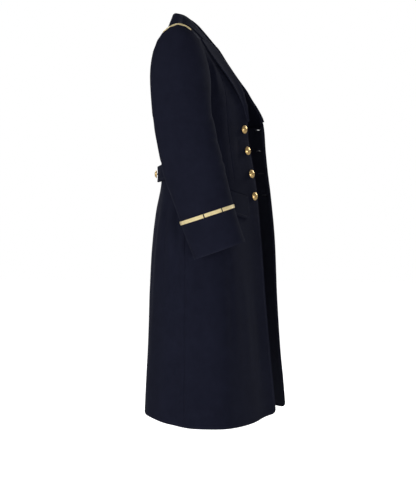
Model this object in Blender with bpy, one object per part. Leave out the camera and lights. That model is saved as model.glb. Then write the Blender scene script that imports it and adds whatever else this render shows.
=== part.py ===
"""Long open wool uniform coat with a notched collar, worn form, metres, +Z up.

The wearer would face -Y, with the right arm at -X. The origin is the neck point, at the middle of
the neck, where the coat is held. Every cloth piece is a wall cut along its real seams.
"""

import math

import bpy
from mathutils import Vector

# ---------------------------------------------------------------- driving sizes
CLOTH = 0.003              # wall of one cloth piece with its lining
SEAM_GAP = 0.0003          # clearance between two pieces that are sewn together
ARMHOLE_GAP = 0.0013       # clearance between a sleeve's head and the armhole
LAY_GAP = 0.0004           # clearance between a piece and the panel that it lies on
HEM_Z = -1.070             # middle level of the hem, below the neck point
ARM_Z = -0.215             # underarm level
SEAM_A = 0.452             # place of the side seam along a half section, back centre 0, edge 1
BACK_FULLNESS = 0.60       # how square the back half of a section is
SIDE_FULLNESS = 0.52       # how full the front half is beside the widest point
EDGE_FULLNESS = 0.42       # how straight it runs to the front edge
EDGE_ANGLE = math.radians(40)   # turn of the fronts at their edges, from square across
ARM_RISE = 0.21            # height of the chest part, underarm to shoulder
BACK_LEAN, BACK_CLIMB = -0.10, 0.05     # how the back arrives at its top edge, back and up
FRONT_LEAN, FRONT_CLIMB = 0.15, 0.06    # the same for a front
NORMAL_STEP = 0.01         # in shares and levels, for reading the slope of a surface
NECK_U = 0.375             # share of the back's top row that is neck, the rest is shoulder
SKIRT_ROWS = 15
CHEST_ROWS = 12            # the armhole's rows; a sleeve has two sides for each of them
BACK_COLUMNS = 9
FRONT_COLUMNS = 12
LAYER_MID = 0.0022         # height of the middle of a cloth layer that lies on a panel
COLLAR_EDGE_MID = 0.0028   # the same, at the outer edge of the collar
COLLAR_GAP = 0.0012        # clearance along the neck seam
FACING = 0.0015            # thickness of the facing
FACING_WIDTH = 0.080
FACING_INSET = 0.002       # from the front edge to the facing
FACING_LEVELS = (0.012, 0.935)  # its ends, as body levels
FLAP = 0.0035              # thickness of a pocket flap
FLAP_SIZE = (0.150, 0.062) # length along the waist, depth
FLAP_EDGE_DISTANCE = 0.050 # from the front edge to the flap
FLAP_TOP_Z = (-0.462, -0.428)   # top edge of the flap, at its front and back ends
BELT = 0.0035              # thickness of the half belt
BELT_WIDTH = 0.045
BELT_HALF_LENGTH = 0.130
BELT_Z = (-0.407, -0.395)  # middle level of the half belt, at the centre back and at its ends
BELT_STAND_OFF = 0.0092    # how far it hangs off the back, at the centre back
BELT_BUTTON_DISTANCE = 0.055
BUTTON_RADIUS = 0.0112
BUTTON_EDGE_DISTANCE = 0.019
BUTTON_LEVELS = (-0.279, -0.338, -0.4015, -0.463)
BRAID = 0.0014             # thickness of the gold braid
CUFF_BRAID_PLACE = 1.772   # along the sleeve, head 0 to 1, arm 1 to 2
CUFF_BRAID_HALF = 0.0100   # half its width, in the same measure
CUFF_BRAID_GAPS = (3.4, -37.0)  # degrees round the sleeve from its outer side, backwards
CUFF_BRAID_GAP_WIDTH = 2.4      # degrees
SHOULDER_BRAID_SPAN = (-25.0, 35.0)  # degrees round the armhole from the shoulder tip, backwards
SHOULDER_BRAID_PLACES = (0.012, 0.082)

# One half section of the body at each level; both halves share these.
SECTION_COLUMNS = ("z", "half_width", "side_y", "back_y")
SECTIONS = (
    (-1.070, 0.268, -0.052, 0.1125),
    (-0.985, 0.258, -0.050, 0.1085),
    (-0.850, 0.240, -0.048, 0.1020),
    (-0.700, 0.222, -0.046, 0.0975),
    (-0.585, 0.206, -0.044, 0.0885),
    (-0.500, 0.188, -0.041, 0.0785),
    (-0.440, 0.174, -0.039, 0.0680),
    (-0.400, 0.168, -0.038, 0.0650),
    (-0.340, 0.168, -0.036, 0.0690),
    (-0.280, 0.171, -0.033, 0.0760),
    (-0.215, 0.175, -0.030, 0.0830),
)

# Level of the hem along a half section, from the centre back, 0, to the front edge, 1.
HEM_COLUMNS = ("place", "right_z", "left_z")
HEMS = (
    (0.00, -1.0560, -1.0560),
    (0.22, -1.0575, -1.0580),
    (0.42, -1.0690, -1.0680),
    (0.60, -1.0755, -1.0730),
    (0.80, -1.0755, -1.0700),
    (1.00, -1.0660, -1.0640),
)

# The two front edges; the coat hangs open, its left front further forward.
EDGE_COLUMNS = ("z", "right_x", "right_y", "left_x", "left_y")
EDGES = (
    (-1.070, -0.030, -0.2565, 0.070, -0.2770),
    (-0.985, -0.030, -0.2478, 0.070, -0.2700),
    (-0.900, -0.030, -0.2393, 0.070, -0.2615),
    (-0.750, -0.030, -0.2260, 0.068, -0.2520),
    (-0.585, -0.030, -0.2140, 0.066, -0.2450),
    (-0.463, -0.030, -0.2057, 0.064, -0.2335),
    (-0.400, -0.031, -0.1970, 0.062, -0.2255),
    (-0.336, -0.032, -0.1858, 0.061, -0.2190),
    (-0.280, -0.035, -0.1775, 0.060, -0.2150),
    (-0.250, -0.039, -0.1760, 0.060, -0.2085),
    (-0.215, -0.046, -0.1730, 0.060, -0.1905),
)

# Roll lines of the lapels above the underarm level, and on round the neck to the shoulder seam.
ROLL_LINES = {
    "right": (
        (-0.046, -0.1730, -0.215),
        (-0.053, -0.1600, -0.175),
        (-0.057, -0.1400, -0.136),
        (-0.060, -0.1110, -0.095),
        (-0.063, -0.0785, -0.052),
        (-0.067, -0.0430, -0.018),
        (-0.070, -0.0040, 0.008),
    ),
    "left": (
        (0.060, -0.1905, -0.215),
        (0.060, -0.1610, -0.172),
        (0.061, -0.1345, -0.136),
        (0.062, -0.1065, -0.095),
        (0.063, -0.0780, -0.052),
        (0.067, -0.0430, -0.018),
        (0.070, -0.0040, 0.008),
    ),
}

# Right armhole from the shoulder tip round the back, under the arm and up the front.
ARMHOLE = (
    (-0.190, -0.006, 0.000),
    (-0.180, 0.046, -0.030),
    (-0.164, 0.068, -0.100),
    (-0.166, 0.042, -0.178),
    None,                        # underarm, read from the side seam
    (-0.165, -0.060, -0.185),
    (-0.155, -0.078, -0.125),
    (-0.172, -0.054, -0.038),
)

# Centre back from the underarm level up to the neck.
CENTRE_BACK = (
    (0.0, 0.0830, -0.215),
    (0.0, 0.0885, -0.150),
    (0.0, 0.0800, -0.085),
    (0.0, 0.0590, -0.035),
    (0.0, 0.0400, 0.000),
)
NECK_BACK_MID = (-0.045, 0.030, 0.004)
NECK_SIDE = (-0.070, -0.004, 0.008)
SHOULDER_TIP = ARMHOLE[0]

# Soft long folds of the skirt: place along the half section, width there, rise, start level.
FOLD_COLUMNS = ("side", "place", "width", "rise", "top_z")
SKIRT_FOLDS = (
    ("right", 0.395, 0.045, 0.0060, -0.42),
    ("right", 0.500, 0.040, -0.0030, -0.46),
    ("right", 0.690, 0.070, 0.0050, -0.55),
    ("right", 0.850, 0.060, -0.0040, -0.60),
    ("right", 0.180, 0.070, -0.0040, -0.50),
    ("left", 0.395, 0.050, 0.0055, -0.43),
    ("left", 0.520, 0.045, -0.0040, -0.50),
    ("left", 0.680, 0.060, 0.0060, -0.52),
    ("left", 0.830, 0.070, -0.0045, -0.62),
    ("left", 0.200, 0.080, -0.0035, -0.55),
)

# Lapel: body level on its front, and width from the roll line.
LAPEL_COLUMNS = ("level", "width")
LAPEL = (
    (0.950, 0.006),
    (1.000, 0.016),
    (1.100, 0.026),
    (1.220, 0.042),
    (1.400, 0.062),
    (1.560, 0.078),
    (1.672, 0.084),
)
LAPEL_ROWS = 12
GORGE_RISE = 0.55          # climb of the gorge seam outward from the roll line, levels per metre

LAPEL_TUCK = 0.002         # how far an unfolded lapel starts past the edge
LAPEL_FOLD_WIDTHS = (0.008, 0.035)   # it folds over as it grows from one width to the other

# Section of a lapel from under the roll line to its outer edge. Columns: distance from the roll
# line, share of the lapel's width added to it, height of the layer's middle over the front.
LAPEL_FOLD = (
    (-0.0024, 0.00, -0.0012),
    (-0.0032, 0.00, 0.0018),
    (-0.0008, 0.00, 0.0046),
    (0.0050, 0.04, 0.0060),
    (0.0, 0.36, 0.0050),
    (0.0, 0.68, 0.0032),
    (0.0, 1.00, LAYER_MID),
)

# Collar stations from the centre back round to the gorge. The neck seam is read on the body, on
# the back up to the shoulder seam and on the front after it; the fold is a point; the outer edge
# lies on the body.
NECK_PLACES_BACK = ((0.0, 2.0), (0.18, 2.0), (NECK_U, 2.0))
NECK_PLACES_FRONT = ((0.0, 2.0), (0.0, 1.917), (0.0, 1.833), (0.0, 1.75), (0.0, 1.686))
COLLAR_FOLD = (
    (0.0, 0.0290, 0.0410),
    (-0.034, 0.0210, 0.0395),
    (-0.057, -0.0030, 0.0320),
    (-0.0620, -0.0245, 0.0165),
    (-0.0625, -0.0440, -0.0045),
    (-0.0620, -0.0620, -0.0260),
    (-0.0610, -0.0790, -0.0475),
)
EDGE_PLACES_BACK = ((0.0, 1.868), (0.32, 1.886), (0.61, 2.0))
EDGE_PLACES_FRONT = ((0.375, 2.0), (0.43, 1.95), (0.465, 1.890), (0.475, 1.82), (0.43, 1.765))
COLLAR_STEPS = 3           # stations made between two table rows
STAND_SECTION = ((0.50, 0.0010), (0.86, 0.0015))    # share of its way up, how far it leans in
FOLD_SECTION = ((0.0012, 0.0), (0.0060, 0.0016))    # how far outside the fold, how far below
FALL_SECTION = ((0.36, 0.0040), (0.68, 0.0026))     # share of its way down, how far it bulges
GORGE_STATIONS = (4.6, 6.0)          # where the fall comes down onto the gorge seam

# Turned profile of a button. Columns: radius, height over the cloth.
BUTTON_PROFILE = (
    (0.0028, 0.0000),
    (0.0028, 0.0018),
    (0.0096, 0.0021),
    (BUTTON_RADIUS, 0.0030),
    (0.0110, 0.0040),
    (0.0092, 0.0057),
    (0.0060, 0.0070),
    (0.0028, 0.0077),
)
BUTTON_SIDES = 16
BUTTON_TOP = 0.0079

# Right sleeve below its head: centre, half depth front to back, half thickness, forward lean.
SLEEVE_COLUMNS = ("x", "y", "z", "half_depth", "half_thick", "lean_deg")
SLEEVE = (
    (-0.229, -0.0170, -0.245, 0.0785, 0.050, 6),
    (-0.231, -0.0265, -0.290, 0.0800, 0.050, 10),
    (-0.235, -0.0370, -0.339, 0.0805, 0.050, 12),
    (-0.240, -0.0500, -0.389, 0.0815, 0.050, 14),
    (-0.245, -0.0640, -0.434, 0.0780, 0.049, 17),
    (-0.250, -0.0785, -0.480, 0.0750, 0.048, 18),
    (-0.258, -0.1000, -0.545, 0.0730, 0.047, 19),
    (-0.266, -0.1210, -0.5985, 0.0710, 0.047, 20),
)
SLEEVE_SIDES = 2 * CHEST_ROWS
HIND_SEAM = 7              # the side of the sleeve that its hind arm seam runs down
FORE_SEAM = 15
SLEEVE_HEAD_RINGS = 8
SLEEVE_ARM_RINGS = 14
HEAD_REACH = (0.075, 0.020)      # how far the head leaves the armhole, at its top and below
HEAD_FULLNESS = 0.045            # how far its front and back swell past the armhole
HEAD_DROP = (0.170, 0.060)       # how long it turns down into the arm, at its top and below


# ---------------------------------------------------------------- curves and tables
def mirror(point, side):
    """A point of the right half, or its mirror for the left half."""
    return Vector((point[0] if side == "right" else -point[0], point[1], point[2]))


def hermite(a, b, slope_a, slope_b, t):
    """Cubic from a to b with the given end slopes, t from 0 to 1."""
    t2, t3 = t * t, t * t * t
    return (a * (2 * t3 - 3 * t2 + 1) + slope_a * (t3 - 2 * t2 + t)
            + b * (3 * t2 - 2 * t3) + slope_b * (t3 - t2))


def spline(points, t, closed=False):
    """Smooth curve through evenly numbered points, t from 0 to 1."""
    points = [Vector(p) for p in points]
    count = len(points)
    spans = count if closed else count - 1
    place = (t % 1.0 if closed else min(max(t, 0.0), 1.0)) * spans
    index = min(int(place), spans - 1)

    def at(k):
        if closed:
            return points[k % count]
        if k < 0:
            return points[0] * 2 - points[1]
        if k >= count:
            return points[-1] * 2 - points[-2]
        return points[k]

    a, b = at(index), at(index + 1)
    return hermite(a, b, (b - at(index - 1)) / 2, (at(index + 2) - a) / 2, place - index)


def read_table(table, columns, key_value, names):
    """Values of the named columns at a level, by a smooth curve through the table's rows."""
    keys = [row[0] for row in table]
    index = 0
    while index < len(keys) - 2 and key_value > keys[index + 1]:
        index += 1
    span = keys[index + 1] - keys[index]
    t = min(max((key_value - keys[index]) / span, 0.0), 1.0)
    values = []
    for name in names:
        column = columns.index(name)
        a, b = table[index][column], table[index + 1][column]
        slope = (b - a) / span
        before, after = slope, slope
        if index > 0:
            row = table[index - 1]
            before = (b - row[column]) / (keys[index + 1] - row[0])
        if index < len(keys) - 2:
            row = table[index + 2]
            after = (row[column] - a) / (row[0] - keys[index])
        values.append(hermite(a, b, before * span, after * span, t))
    return values


def cubic(a, b, c, d, t):
    """Bezier curve with ends a and d."""
    s = 1 - t
    return a * s ** 3 + b * 3 * s * s * t + c * 3 * s * t * t + d * t ** 3


# ---------------------------------------------------------------- the body's surface
def section_point(side, a, z):
    """Body point at level z; a runs from the back centre, 0, to the front edge, 1."""
    half_width, side_y, back_y = read_table(
        SECTIONS, SECTION_COLUMNS, z, ("half_width", "side_y", "back_y"))
    edge_x, edge_y = read_table(EDGES, EDGE_COLUMNS, z, (side + "_x", side + "_y"))
    outward = -1 if side == "right" else 1
    widest = Vector((outward * half_width, side_y, z))
    if a <= 0.5:
        start = Vector((0, back_y, z))
        handle_a = Vector((outward * BACK_FULLNESS * half_width, back_y, z))
        handle_b = widest + Vector((0, BACK_FULLNESS * (back_y - side_y), 0))
        return cubic(start, handle_a, handle_b, widest, a * 2)
    edge = Vector((edge_x, edge_y, z))
    reach = (edge - widest).length
    handle_a = widest + Vector((0, -SIDE_FULLNESS * reach, 0))
    turn = Vector((outward * math.cos(EDGE_ANGLE), math.sin(EDGE_ANGLE), 0))
    handle_b = edge + turn * EDGE_FULLNESS * reach
    return cubic(widest, handle_a, handle_b, edge, a * 2 - 1)


def folded_point(side, a, z):
    """Body point below the underarm, with the skirt's long folds."""
    step = NORMAL_STEP / 5
    along = section_point(side, min(a + step, 1), z) - section_point(side, max(a - step, 0), z)
    outward = 1 if side == "right" else -1
    normal = Vector((-along.y, along.x, 0)).normalized() * outward
    rise = 0.0
    for row in SKIRT_FOLDS:
        fold = dict(zip(FOLD_COLUMNS, row))
        if fold["side"] == side and z < fold["top_z"]:
            growth = (fold["top_z"] - z) / (fold["top_z"] - HEM_Z)
            rise += fold["rise"] * growth * math.exp(-((a - fold["place"]) / fold["width"]) ** 2)
    return section_point(side, a, z) + normal * rise


def armhole_point(side, t):
    """Point of the armhole, t 0 at the shoulder tip, 0.5 under the arm, back first."""
    under = section_point("right", SEAM_A, ARM_Z)
    loop = [under if point is None else Vector(point) for point in ARMHOLE]
    return mirror(spline(loop, t, closed=True), side)


def half_place(part, u):
    """Place along the half section, back centre 0 to front edge 1, of a panel's share u."""
    return u * SEAM_A if part == "back" else 1 - u * (1 - SEAM_A)


def end_slope(side, a):
    """Upward slope of the lower body at the underarm level."""
    lower = section_point(side, a, ARM_Z - NORMAL_STEP)
    return (section_point(side, a, ARM_Z) - lower) * (ARM_RISE / NORMAL_STEP)


def top_point(side, part, u):
    """Point of a panel's top edge: the shoulder seam, and the neck on the back."""
    if part == "back" and u < NECK_U:
        neck = (CENTRE_BACK[-1], NECK_BACK_MID, NECK_SIDE)
        return mirror(spline(neck, u / NECK_U), side)
    share = (u - NECK_U) / (1 - NECK_U) if part == "back" else u
    return mirror(Vector(NECK_SIDE).lerp(Vector(SHOULDER_TIP), share), side)


def top_slope(part, u):
    """How a panel arrives at its top edge."""
    if part == "back":
        return Vector((0, BACK_LEAN * min(1, u / NECK_U), BACK_CLIMB * (1 - u)))
    return Vector((0, FRONT_LEAN, FRONT_CLIMB * (1 - u)))


def free_point(side, part, u, t):
    """Chest point led only by the panel's lower part and its top edge."""
    a = half_place(part, u)
    return hermite(section_point(side, a, ARM_Z), top_point(side, part, u),
                   end_slope(side, a), top_slope(part, u), t)


def patch_point(side, part, u, t):
    """Point above the underarm level; u runs from the centre or roll line to the armhole."""
    if part == "back":
        inner, arm = mirror(spline(CENTRE_BACK, t), side), armhole_point(side, 0.5 * (1 - t))
    else:
        inner, arm = spline(ROLL_LINES[side], t), armhole_point(side, 0.5 * (1 + t))
    to_inner = inner - free_point(side, part, 0, t)
    to_arm = arm - free_point(side, part, 1, t)
    return free_point(side, part, u, t) + to_inner * (1 - u) ** 2 + to_arm * u ** 2


def body_point(side, part, u, level):
    """Outer point of a back or front; level 0 is the hem, 1 the underarm, 2 the shoulder."""
    if level >= 1:
        return patch_point(side, part, u, min(level - 1, 1))
    a = half_place(part, u)
    hem_z = read_table(HEMS, HEM_COLUMNS, a, (side + "_z",))[0]
    return folded_point(side, a, hem_z + (ARM_Z - hem_z) * level)


def body_normal(side, part, u, level):
    """Outward normal of the body there, the same on both sides of a seam."""
    if level > 1.999 and (part == "front" or u >= NECK_U):
        slope = mirror(SHOULDER_TIP, side) - mirror(NECK_SIDE, side)
        normal = slope.cross(Vector((0, 1, 0))).normalized()
        return normal if normal.z > 0 else -normal
    upward = (body_point(side, part, u, min(level + NORMAL_STEP, 2))
              - body_point(side, part, u, max(level - NORMAL_STEP, 0)))
    if level < 1 and u > 0.95:
        # Across the side seam, in the back's direction for both panels.
        z = body_point(side, part, u, level).z
        a = half_place(part, u)
        across = folded_point(side, a + NORMAL_STEP, z) - folded_point(side, a - NORMAL_STEP, z)
        turned = side == "left"
    else:
        across = (body_point(side, part, min(u + NORMAL_STEP, 1), level)
                  - body_point(side, part, max(u - NORMAL_STEP, 0), level))
        turned = (side == "right") == (part == "front")
    normal = across.cross(upward).normalized() * (-1 if turned else 1)
    if part == "back" and u < 0.01:
        normal.x = 0
        normal.normalize()
    return normal


def level_of(z):
    """Body level of a height below the underarm."""
    return (z - HEM_Z) / (ARM_Z - HEM_Z)


# ---------------------------------------------------------------- meshes
def make_material(name, colour, roughness, metallic=0.0):
    material = bpy.data.materials.new(name)
    material.use_nodes = True
    shader = material.node_tree.nodes["Principled BSDF"]
    shader.inputs["Base Color"].default_value = (*colour, 1)
    shader.inputs["Roughness"].default_value = roughness
    shader.inputs["Metallic"].default_value = metallic
    material.diffuse_color = (*colour, 1)
    return material


def signed_volume(vertices, faces):
    total = 0.0
    for face in faces:
        for k in range(1, len(face) - 1):
            a, b, c = vertices[face[0]], vertices[face[k]], vertices[face[k + 1]]
            total += a.dot(b.cross(c))
    return total / 6


def add_object(name, vertices, faces, material, smooth=True):
    """One closed body, with its faces pointing out."""
    if signed_volume(vertices, faces) < 0:
        faces = [tuple(reversed(face)) for face in faces]
    mesh = bpy.data.meshes.new(name)
    mesh.from_pydata([tuple(v) for v in vertices], [], faces)
    mesh.materials.append(material)
    if smooth:
        mesh.shade_smooth()
        mesh.set_sharp_from_angle(angle=math.radians(50))
    body = bpy.data.objects.new(name, mesh)
    bpy.context.scene.collection.objects.link(body)
    return body


def wall(name, outer, inner, material, closed=False):
    """Wall between two equal grids of points, rows by columns; closed joins the columns."""
    rows, columns = len(outer), len(outer[0])
    vertices = [p for row in outer for p in row] + [p for row in inner for p in row]
    half = rows * columns

    def at(row, column, layer):
        return layer * half + row * columns + column % columns

    faces = []
    spans = columns if closed else columns - 1
    for r in range(rows - 1):
        for c in range(spans):
            quad = [at(r, c, 0), at(r, c + 1, 0), at(r + 1, c + 1, 0), at(r + 1, c, 0)]
            faces.append(tuple(quad))
            faces.append(tuple(reversed([k + half for k in quad])))
    for c in range(spans):
        faces.append((at(0, c, 1), at(0, c + 1, 1), at(0, c + 1, 0), at(0, c, 0)))
        last = rows - 1
        faces.append((at(last, c, 0), at(last, c + 1, 0), at(last, c + 1, 1), at(last, c, 1)))
    if not closed:
        last = columns - 1
        for r in range(rows - 1):
            faces.append((at(r, 0, 0), at(r + 1, 0, 0), at(r + 1, 0, 1), at(r, 0, 1)))
            faces.append((at(r, last, 1), at(r + 1, last, 1), at(r + 1, last, 0),
                          at(r, last, 0)))
    return add_object(name, vertices, faces, material)


# ---------------------------------------------------------------- panels
PANEL_LEVELS = [r / SKIRT_ROWS for r in range(SKIRT_ROWS)]
PANEL_LEVELS += [1 + r / CHEST_ROWS for r in range(CHEST_ROWS + 1)]
PANEL_SHARES = {"back": [c / (BACK_COLUMNS - 1) for c in range(BACK_COLUMNS)],
                "front": [c / (FRONT_COLUMNS - 1) for c in range(FRONT_COLUMNS)]}


def span_of(lines, value):
    """The two grid lines about a value, and its share between them."""
    index = 0
    while index < len(lines) - 2 and value > lines[index + 1]:
        index += 1
    low, high = lines[index], lines[index + 1]
    return low, high, (value - low) / (high - low)


def facet_point(side, part, u, level):
    """Point on the flat facets of a panel, which run from grid line to grid line."""
    u_low, u_high, across = span_of(PANEL_SHARES[part], u)
    low, high, up = span_of(PANEL_LEVELS, level)
    below = body_point(side, part, u_low, low).lerp(body_point(side, part, u_high, low), across)
    above = body_point(side, part, u_low, high).lerp(body_point(side, part, u_high, high), across)
    return below.lerp(above, up)


def clear_point(side, part, u, level, height):
    """Point at a height over a panel, clear of both its true curve and its facets."""
    normal = body_normal(side, part, u, level)
    point = body_point(side, part, u, level)
    proud = (facet_point(side, part, u, level) - point).dot(normal)
    if height < 0:
        return point + normal * (height + min(proud, 0))
    return point + normal * (height + max(proud, 0))


def lines_between(low, high, lines):
    """The two ends, and the grid lines between them that are well clear of both."""
    margin = 0.2 * (lines[1] - lines[0])
    return [low] + [line for line in lines if low + margin < line < high - margin] + [high]


def panel(name, side, part, material):
    """A back or a front: a wall inward from the body's surface."""
    outer, inner = [], []
    for level in PANEL_LEVELS:
        width = (body_point(side, part, 0, level) - body_point(side, part, 1, level)).length
        trim = SEAM_GAP * 0.6 / width
        shares = [trim + (1 - 2 * trim) * u for u in PANEL_SHARES[part]]
        row = [body_point(side, part, u, level) for u in shares]
        normals = [body_normal(side, part, u, level) for u in shares]
        outer.append(row)
        inner.append([p - n * CLOTH for p, n in zip(row, normals)])
    return wall(name, outer, inner, material)


# ---------------------------------------------------------------- sleeves
def sleeve_ring_point(side, angle, row):
    """Point of the arm's oval at a table row; angle 0 outside, a quarter turn at the back."""
    ring = dict(zip(SLEEVE_COLUMNS, row))
    lean = math.radians(ring["lean_deg"])
    out = ring["half_thick"] * math.cos(angle)
    back = ring["half_depth"] * math.sin(angle)
    point = (ring["x"] - out, ring["y"] + back * math.cos(lean), ring["z"] - back * math.sin(lean))
    return mirror(point, side)


def sleeve_point(side, angle, place):
    """Outer point of a sleeve; place 0 to 1 is the head, 1 to 2 the arm."""
    if place >= 1:
        row = spline_row(SLEEVE, place - 1)
        return sleeve_ring_point(side, angle, row)
    start = armhole_point(side, angle / math.tau)
    end = sleeve_ring_point(side, angle, SLEEVE[0])
    top = 0.5 + 0.5 * math.cos(angle)
    reach = HEAD_REACH[1] + (HEAD_REACH[0] - HEAD_REACH[1]) * top
    drop = HEAD_DROP[1] + (HEAD_DROP[0] - HEAD_DROP[1]) * top
    swell = HEAD_FULLNESS * math.sin(angle)
    leave = mirror(Vector((-reach, swell, -0.25 * reach * (1 - top))), side)
    arrive = mirror(Vector((-0.02 * drop, -0.10 * drop, -drop)), side)
    start = start + mirror(Vector((-ARMHOLE_GAP, 0, 0)), side)
    return hermite(start, end, leave, arrive, place)


def spline_row(table, t):
    """All the columns of a table at a share of its length."""
    place = min(max(t, 0.0), 1.0) * (len(table) - 1)
    index = min(int(place), len(table) - 2)
    before = table[max(index - 1, 0)]
    a, b = table[index], table[index + 1]
    after = table[min(index + 2, len(table) - 1)]
    return [hermite(p, q, (q - o) / 2, (r - p) / 2, place - index)
            for o, p, q, r in zip(before, a, b, after)]


def sleeve_normal(side, angle, place):
    da, dp = 0.05, 0.02
    around = sleeve_point(side, angle + da, place) - sleeve_point(side, angle - da, place)
    low, high = max(place - dp, 0), min(place + dp, 2)
    down = sleeve_point(side, angle, high) - sleeve_point(side, angle, low)
    normal = around.cross(down).normalized()
    return normal if side == "right" else -normal


def parted(row):
    """A row of points with both ends drawn in by half a seam's gap."""
    first = row[0] + (row[1] - row[0]).normalized() * SEAM_GAP / 2
    last = row[-1] + (row[-2] - row[-1]).normalized() * SEAM_GAP / 2
    return [first] + row[1:-1] + [last]


def sleeve_piece(name, side, first, last, material):
    """Upper or under sleeve, between two of the sleeve's sides that are its arm seams."""
    places = [k / SLEEVE_HEAD_RINGS for k in range(SLEEVE_HEAD_RINGS)]
    places += [1 + k / SLEEVE_ARM_RINGS for k in range(SLEEVE_ARM_RINGS + 1)]
    angles = [math.tau * k / SLEEVE_SIDES for k in range(first, last + 1)]
    outer, inner = [], []
    for place in places:
        row = [sleeve_point(side, angle, place) for angle in angles]
        normals = [sleeve_normal(side, angle, place) for angle in angles]
        outer.append(parted(row))
        inner.append(parted([p - n * CLOTH for p, n in zip(row, normals)]))
    return wall(name, outer, inner, material)


# ---------------------------------------------------------------- pieces that lie on a panel
def share_at(side, part, distance, level):
    """Share of a panel at a distance in metres from its front edge or centre line."""
    steps = 40
    walked = 0.0
    last = body_point(side, part, 0, level)
    for k in range(1, steps + 1):
        point = body_point(side, part, k / steps, level)
        length = (point - last).length
        if walked + length >= distance:
            return (k - 1 + (distance - walked) / length) / steps
        walked += length
        last = point
    return 1.0


def over_panel(side, part, distance, level, height):
    """Point over a panel, or beyond its edge where the distance is negative."""
    if distance >= 0:
        return clear_point(side, part, share_at(side, part, distance, level), level, height)
    edge = body_point(side, part, 0, level)
    beyond = (edge - body_point(side, part, 0.01, level)).normalized()
    return edge + beyond * -distance + body_normal(side, part, 0, level) * height


def grid_normals(grid, closed=False):
    """Unit normal at each point of a grid, rows by columns."""
    rows, columns = len(grid), len(grid[0])
    normals = []
    for r in range(rows):
        line = []
        for c in range(columns):
            if closed:
                before, after = grid[r][(c - 1) % columns], grid[r][(c + 1) % columns]
            else:
                before, after = grid[r][max(c - 1, 0)], grid[r][min(c + 1, columns - 1)]
            below, above = grid[max(r - 1, 0)][c], grid[min(r + 1, rows - 1)][c]
            line.append((after - before).cross(above - below).normalized())
        normals.append(line)
    return normals


def layer(name, middle, thickness, material, seam_normals=None):
    """Wall of even thickness about a grid of middle points.

    seam_normals are those of the panel that the first column is sewn to, so that the two meet
    edge to edge.
    """
    normals = grid_normals(middle)
    if seam_normals:
        for line, normal in zip(normals, seam_normals):
            line[0] = normal if normal.dot(line[0]) > 0 else -normal
    half = thickness / 2
    outer = [[p + n * half for p, n in zip(*pair)] for pair in zip(middle, normals)]
    inner = [[p - n * half for p, n in zip(*pair)] for pair in zip(middle, normals)]
    return wall(name, outer, inner, material)


def smooth_step(value, low, high):
    t = min(max((value - low) / (high - low), 0.0), 1.0)
    return t * t * (3 - 2 * t)


def lapel(name, side, material):
    """Lapel folded over at the roll line and lying on its front."""
    low, high = LAPEL[0][0], LAPEL[-1][0]
    middle = []
    for r in range(LAPEL_ROWS + 1):
        level = low + (high - low) * r / LAPEL_ROWS
        width = read_table(LAPEL, LAPEL_COLUMNS, level, ("width",))[0]
        fold = smooth_step(width, *LAPEL_FOLD_WIDTHS)
        row = []
        for k, (across, share, height) in enumerate(LAPEL_FOLD):
            flat = (width + LAPEL_TUCK) * k / (len(LAPEL_FOLD) - 1) - LAPEL_TUCK
            distance = flat + (across + share * width - flat) * fold
            lift = LAYER_MID + (height - LAYER_MID) * fold
            rise = GORGE_RISE * max(distance, 0) * (r / LAPEL_ROWS) ** 3
            row.append(over_panel(side, "front", distance, level + rise, lift))
        middle.append(row)
    return layer(name, middle, CLOTH, material)


def station(places, k):
    """Place on the body between the rows of a table of places."""
    u, level, _ = spline([(u, level, 0) for u, level in places], k / (len(places) - 1))
    return u, level


def neck_seam(side, k):
    """Point, outward normal and direction past the edge, on the neck seam at station k."""
    if k <= 2:
        u, level = station(NECK_PLACES_BACK, k)
        part, inside = "back", (u, level - 0.02)
    else:
        u, level = station(NECK_PLACES_FRONT, k - 2)
        part, inside = "front", (0.02, level)
    point = facet_point(side, part, u, level)
    beyond = (point - body_point(side, part, *inside)).normalized()
    return point, body_normal(side, part, u, level), beyond


def collar_row(side, k):
    """Middle points of half of the collar at station k, neck seam to outer edge."""
    seam, normal, beyond = neck_seam(side, k)
    base = seam + beyond * COLLAR_GAP - normal * CLOTH / 2
    fold = mirror(spline(COLLAR_FOLD, k / (len(COLLAR_FOLD) - 1)), side)
    if k <= 2:
        edge = clear_point(side, "back", *station(EDGE_PLACES_BACK, k), COLLAR_EDGE_MID)
    else:
        edge = clear_point(side, "front", *station(EDGE_PLACES_FRONT, k - 2), COLLAR_EDGE_MID)
    away = Vector((edge.x - fold.x, edge.y - fold.y, 0)).normalized()
    up = Vector((0, 0, 1))
    fall = edge - fold
    bulge = (up - fall.normalized() * up.dot(fall.normalized())).normalized()
    row = [base]
    row += [base.lerp(fold, share) - away * lean for share, lean in STAND_SECTION]
    row += [fold + away * out - up * down for out, down in FOLD_SECTION]
    row += [fold + fall * share + bulge * height for share, height in FALL_SECTION]
    row.append(edge)
    # At its front end the fall is sewn to the lapel along the gorge, up to the notch.
    sewn = smooth_step(k, *GORGE_STATIONS)
    if sewn > 0:
        for index, (across, share, height) in enumerate(LAPEL_FOLD[1:-1], 2):
            distance = across + share * fall.length
            gorge = NECK_PLACES_FRONT[-1][1] + GORGE_RISE * max(distance, 0)
            spot = over_panel(side, "front", distance, gorge, height)
            row[index] = row[index].lerp(spot, sewn)
    return row


def collar(name, material):
    """Collar, stand and fall in one folded wall, from gorge to gorge."""
    last = (len(COLLAR_FOLD) - 1) * COLLAR_STEPS
    rows = {}
    normals = {}
    for side in ("right", "left"):
        rows[side] = [collar_row(side, k / COLLAR_STEPS) for k in range(last + 1)]
        normals[side] = [neck_seam(side, k / COLLAR_STEPS)[1] for k in range(last + 1)]
    for point in rows["right"][0]:
        point.x = 0
    middle = rows["right"][::-1] + rows["left"][1:]
    seam_normals = normals["right"][::-1] + normals["left"][1:]
    return layer(name, middle, CLOTH, material, seam_normals)


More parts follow.
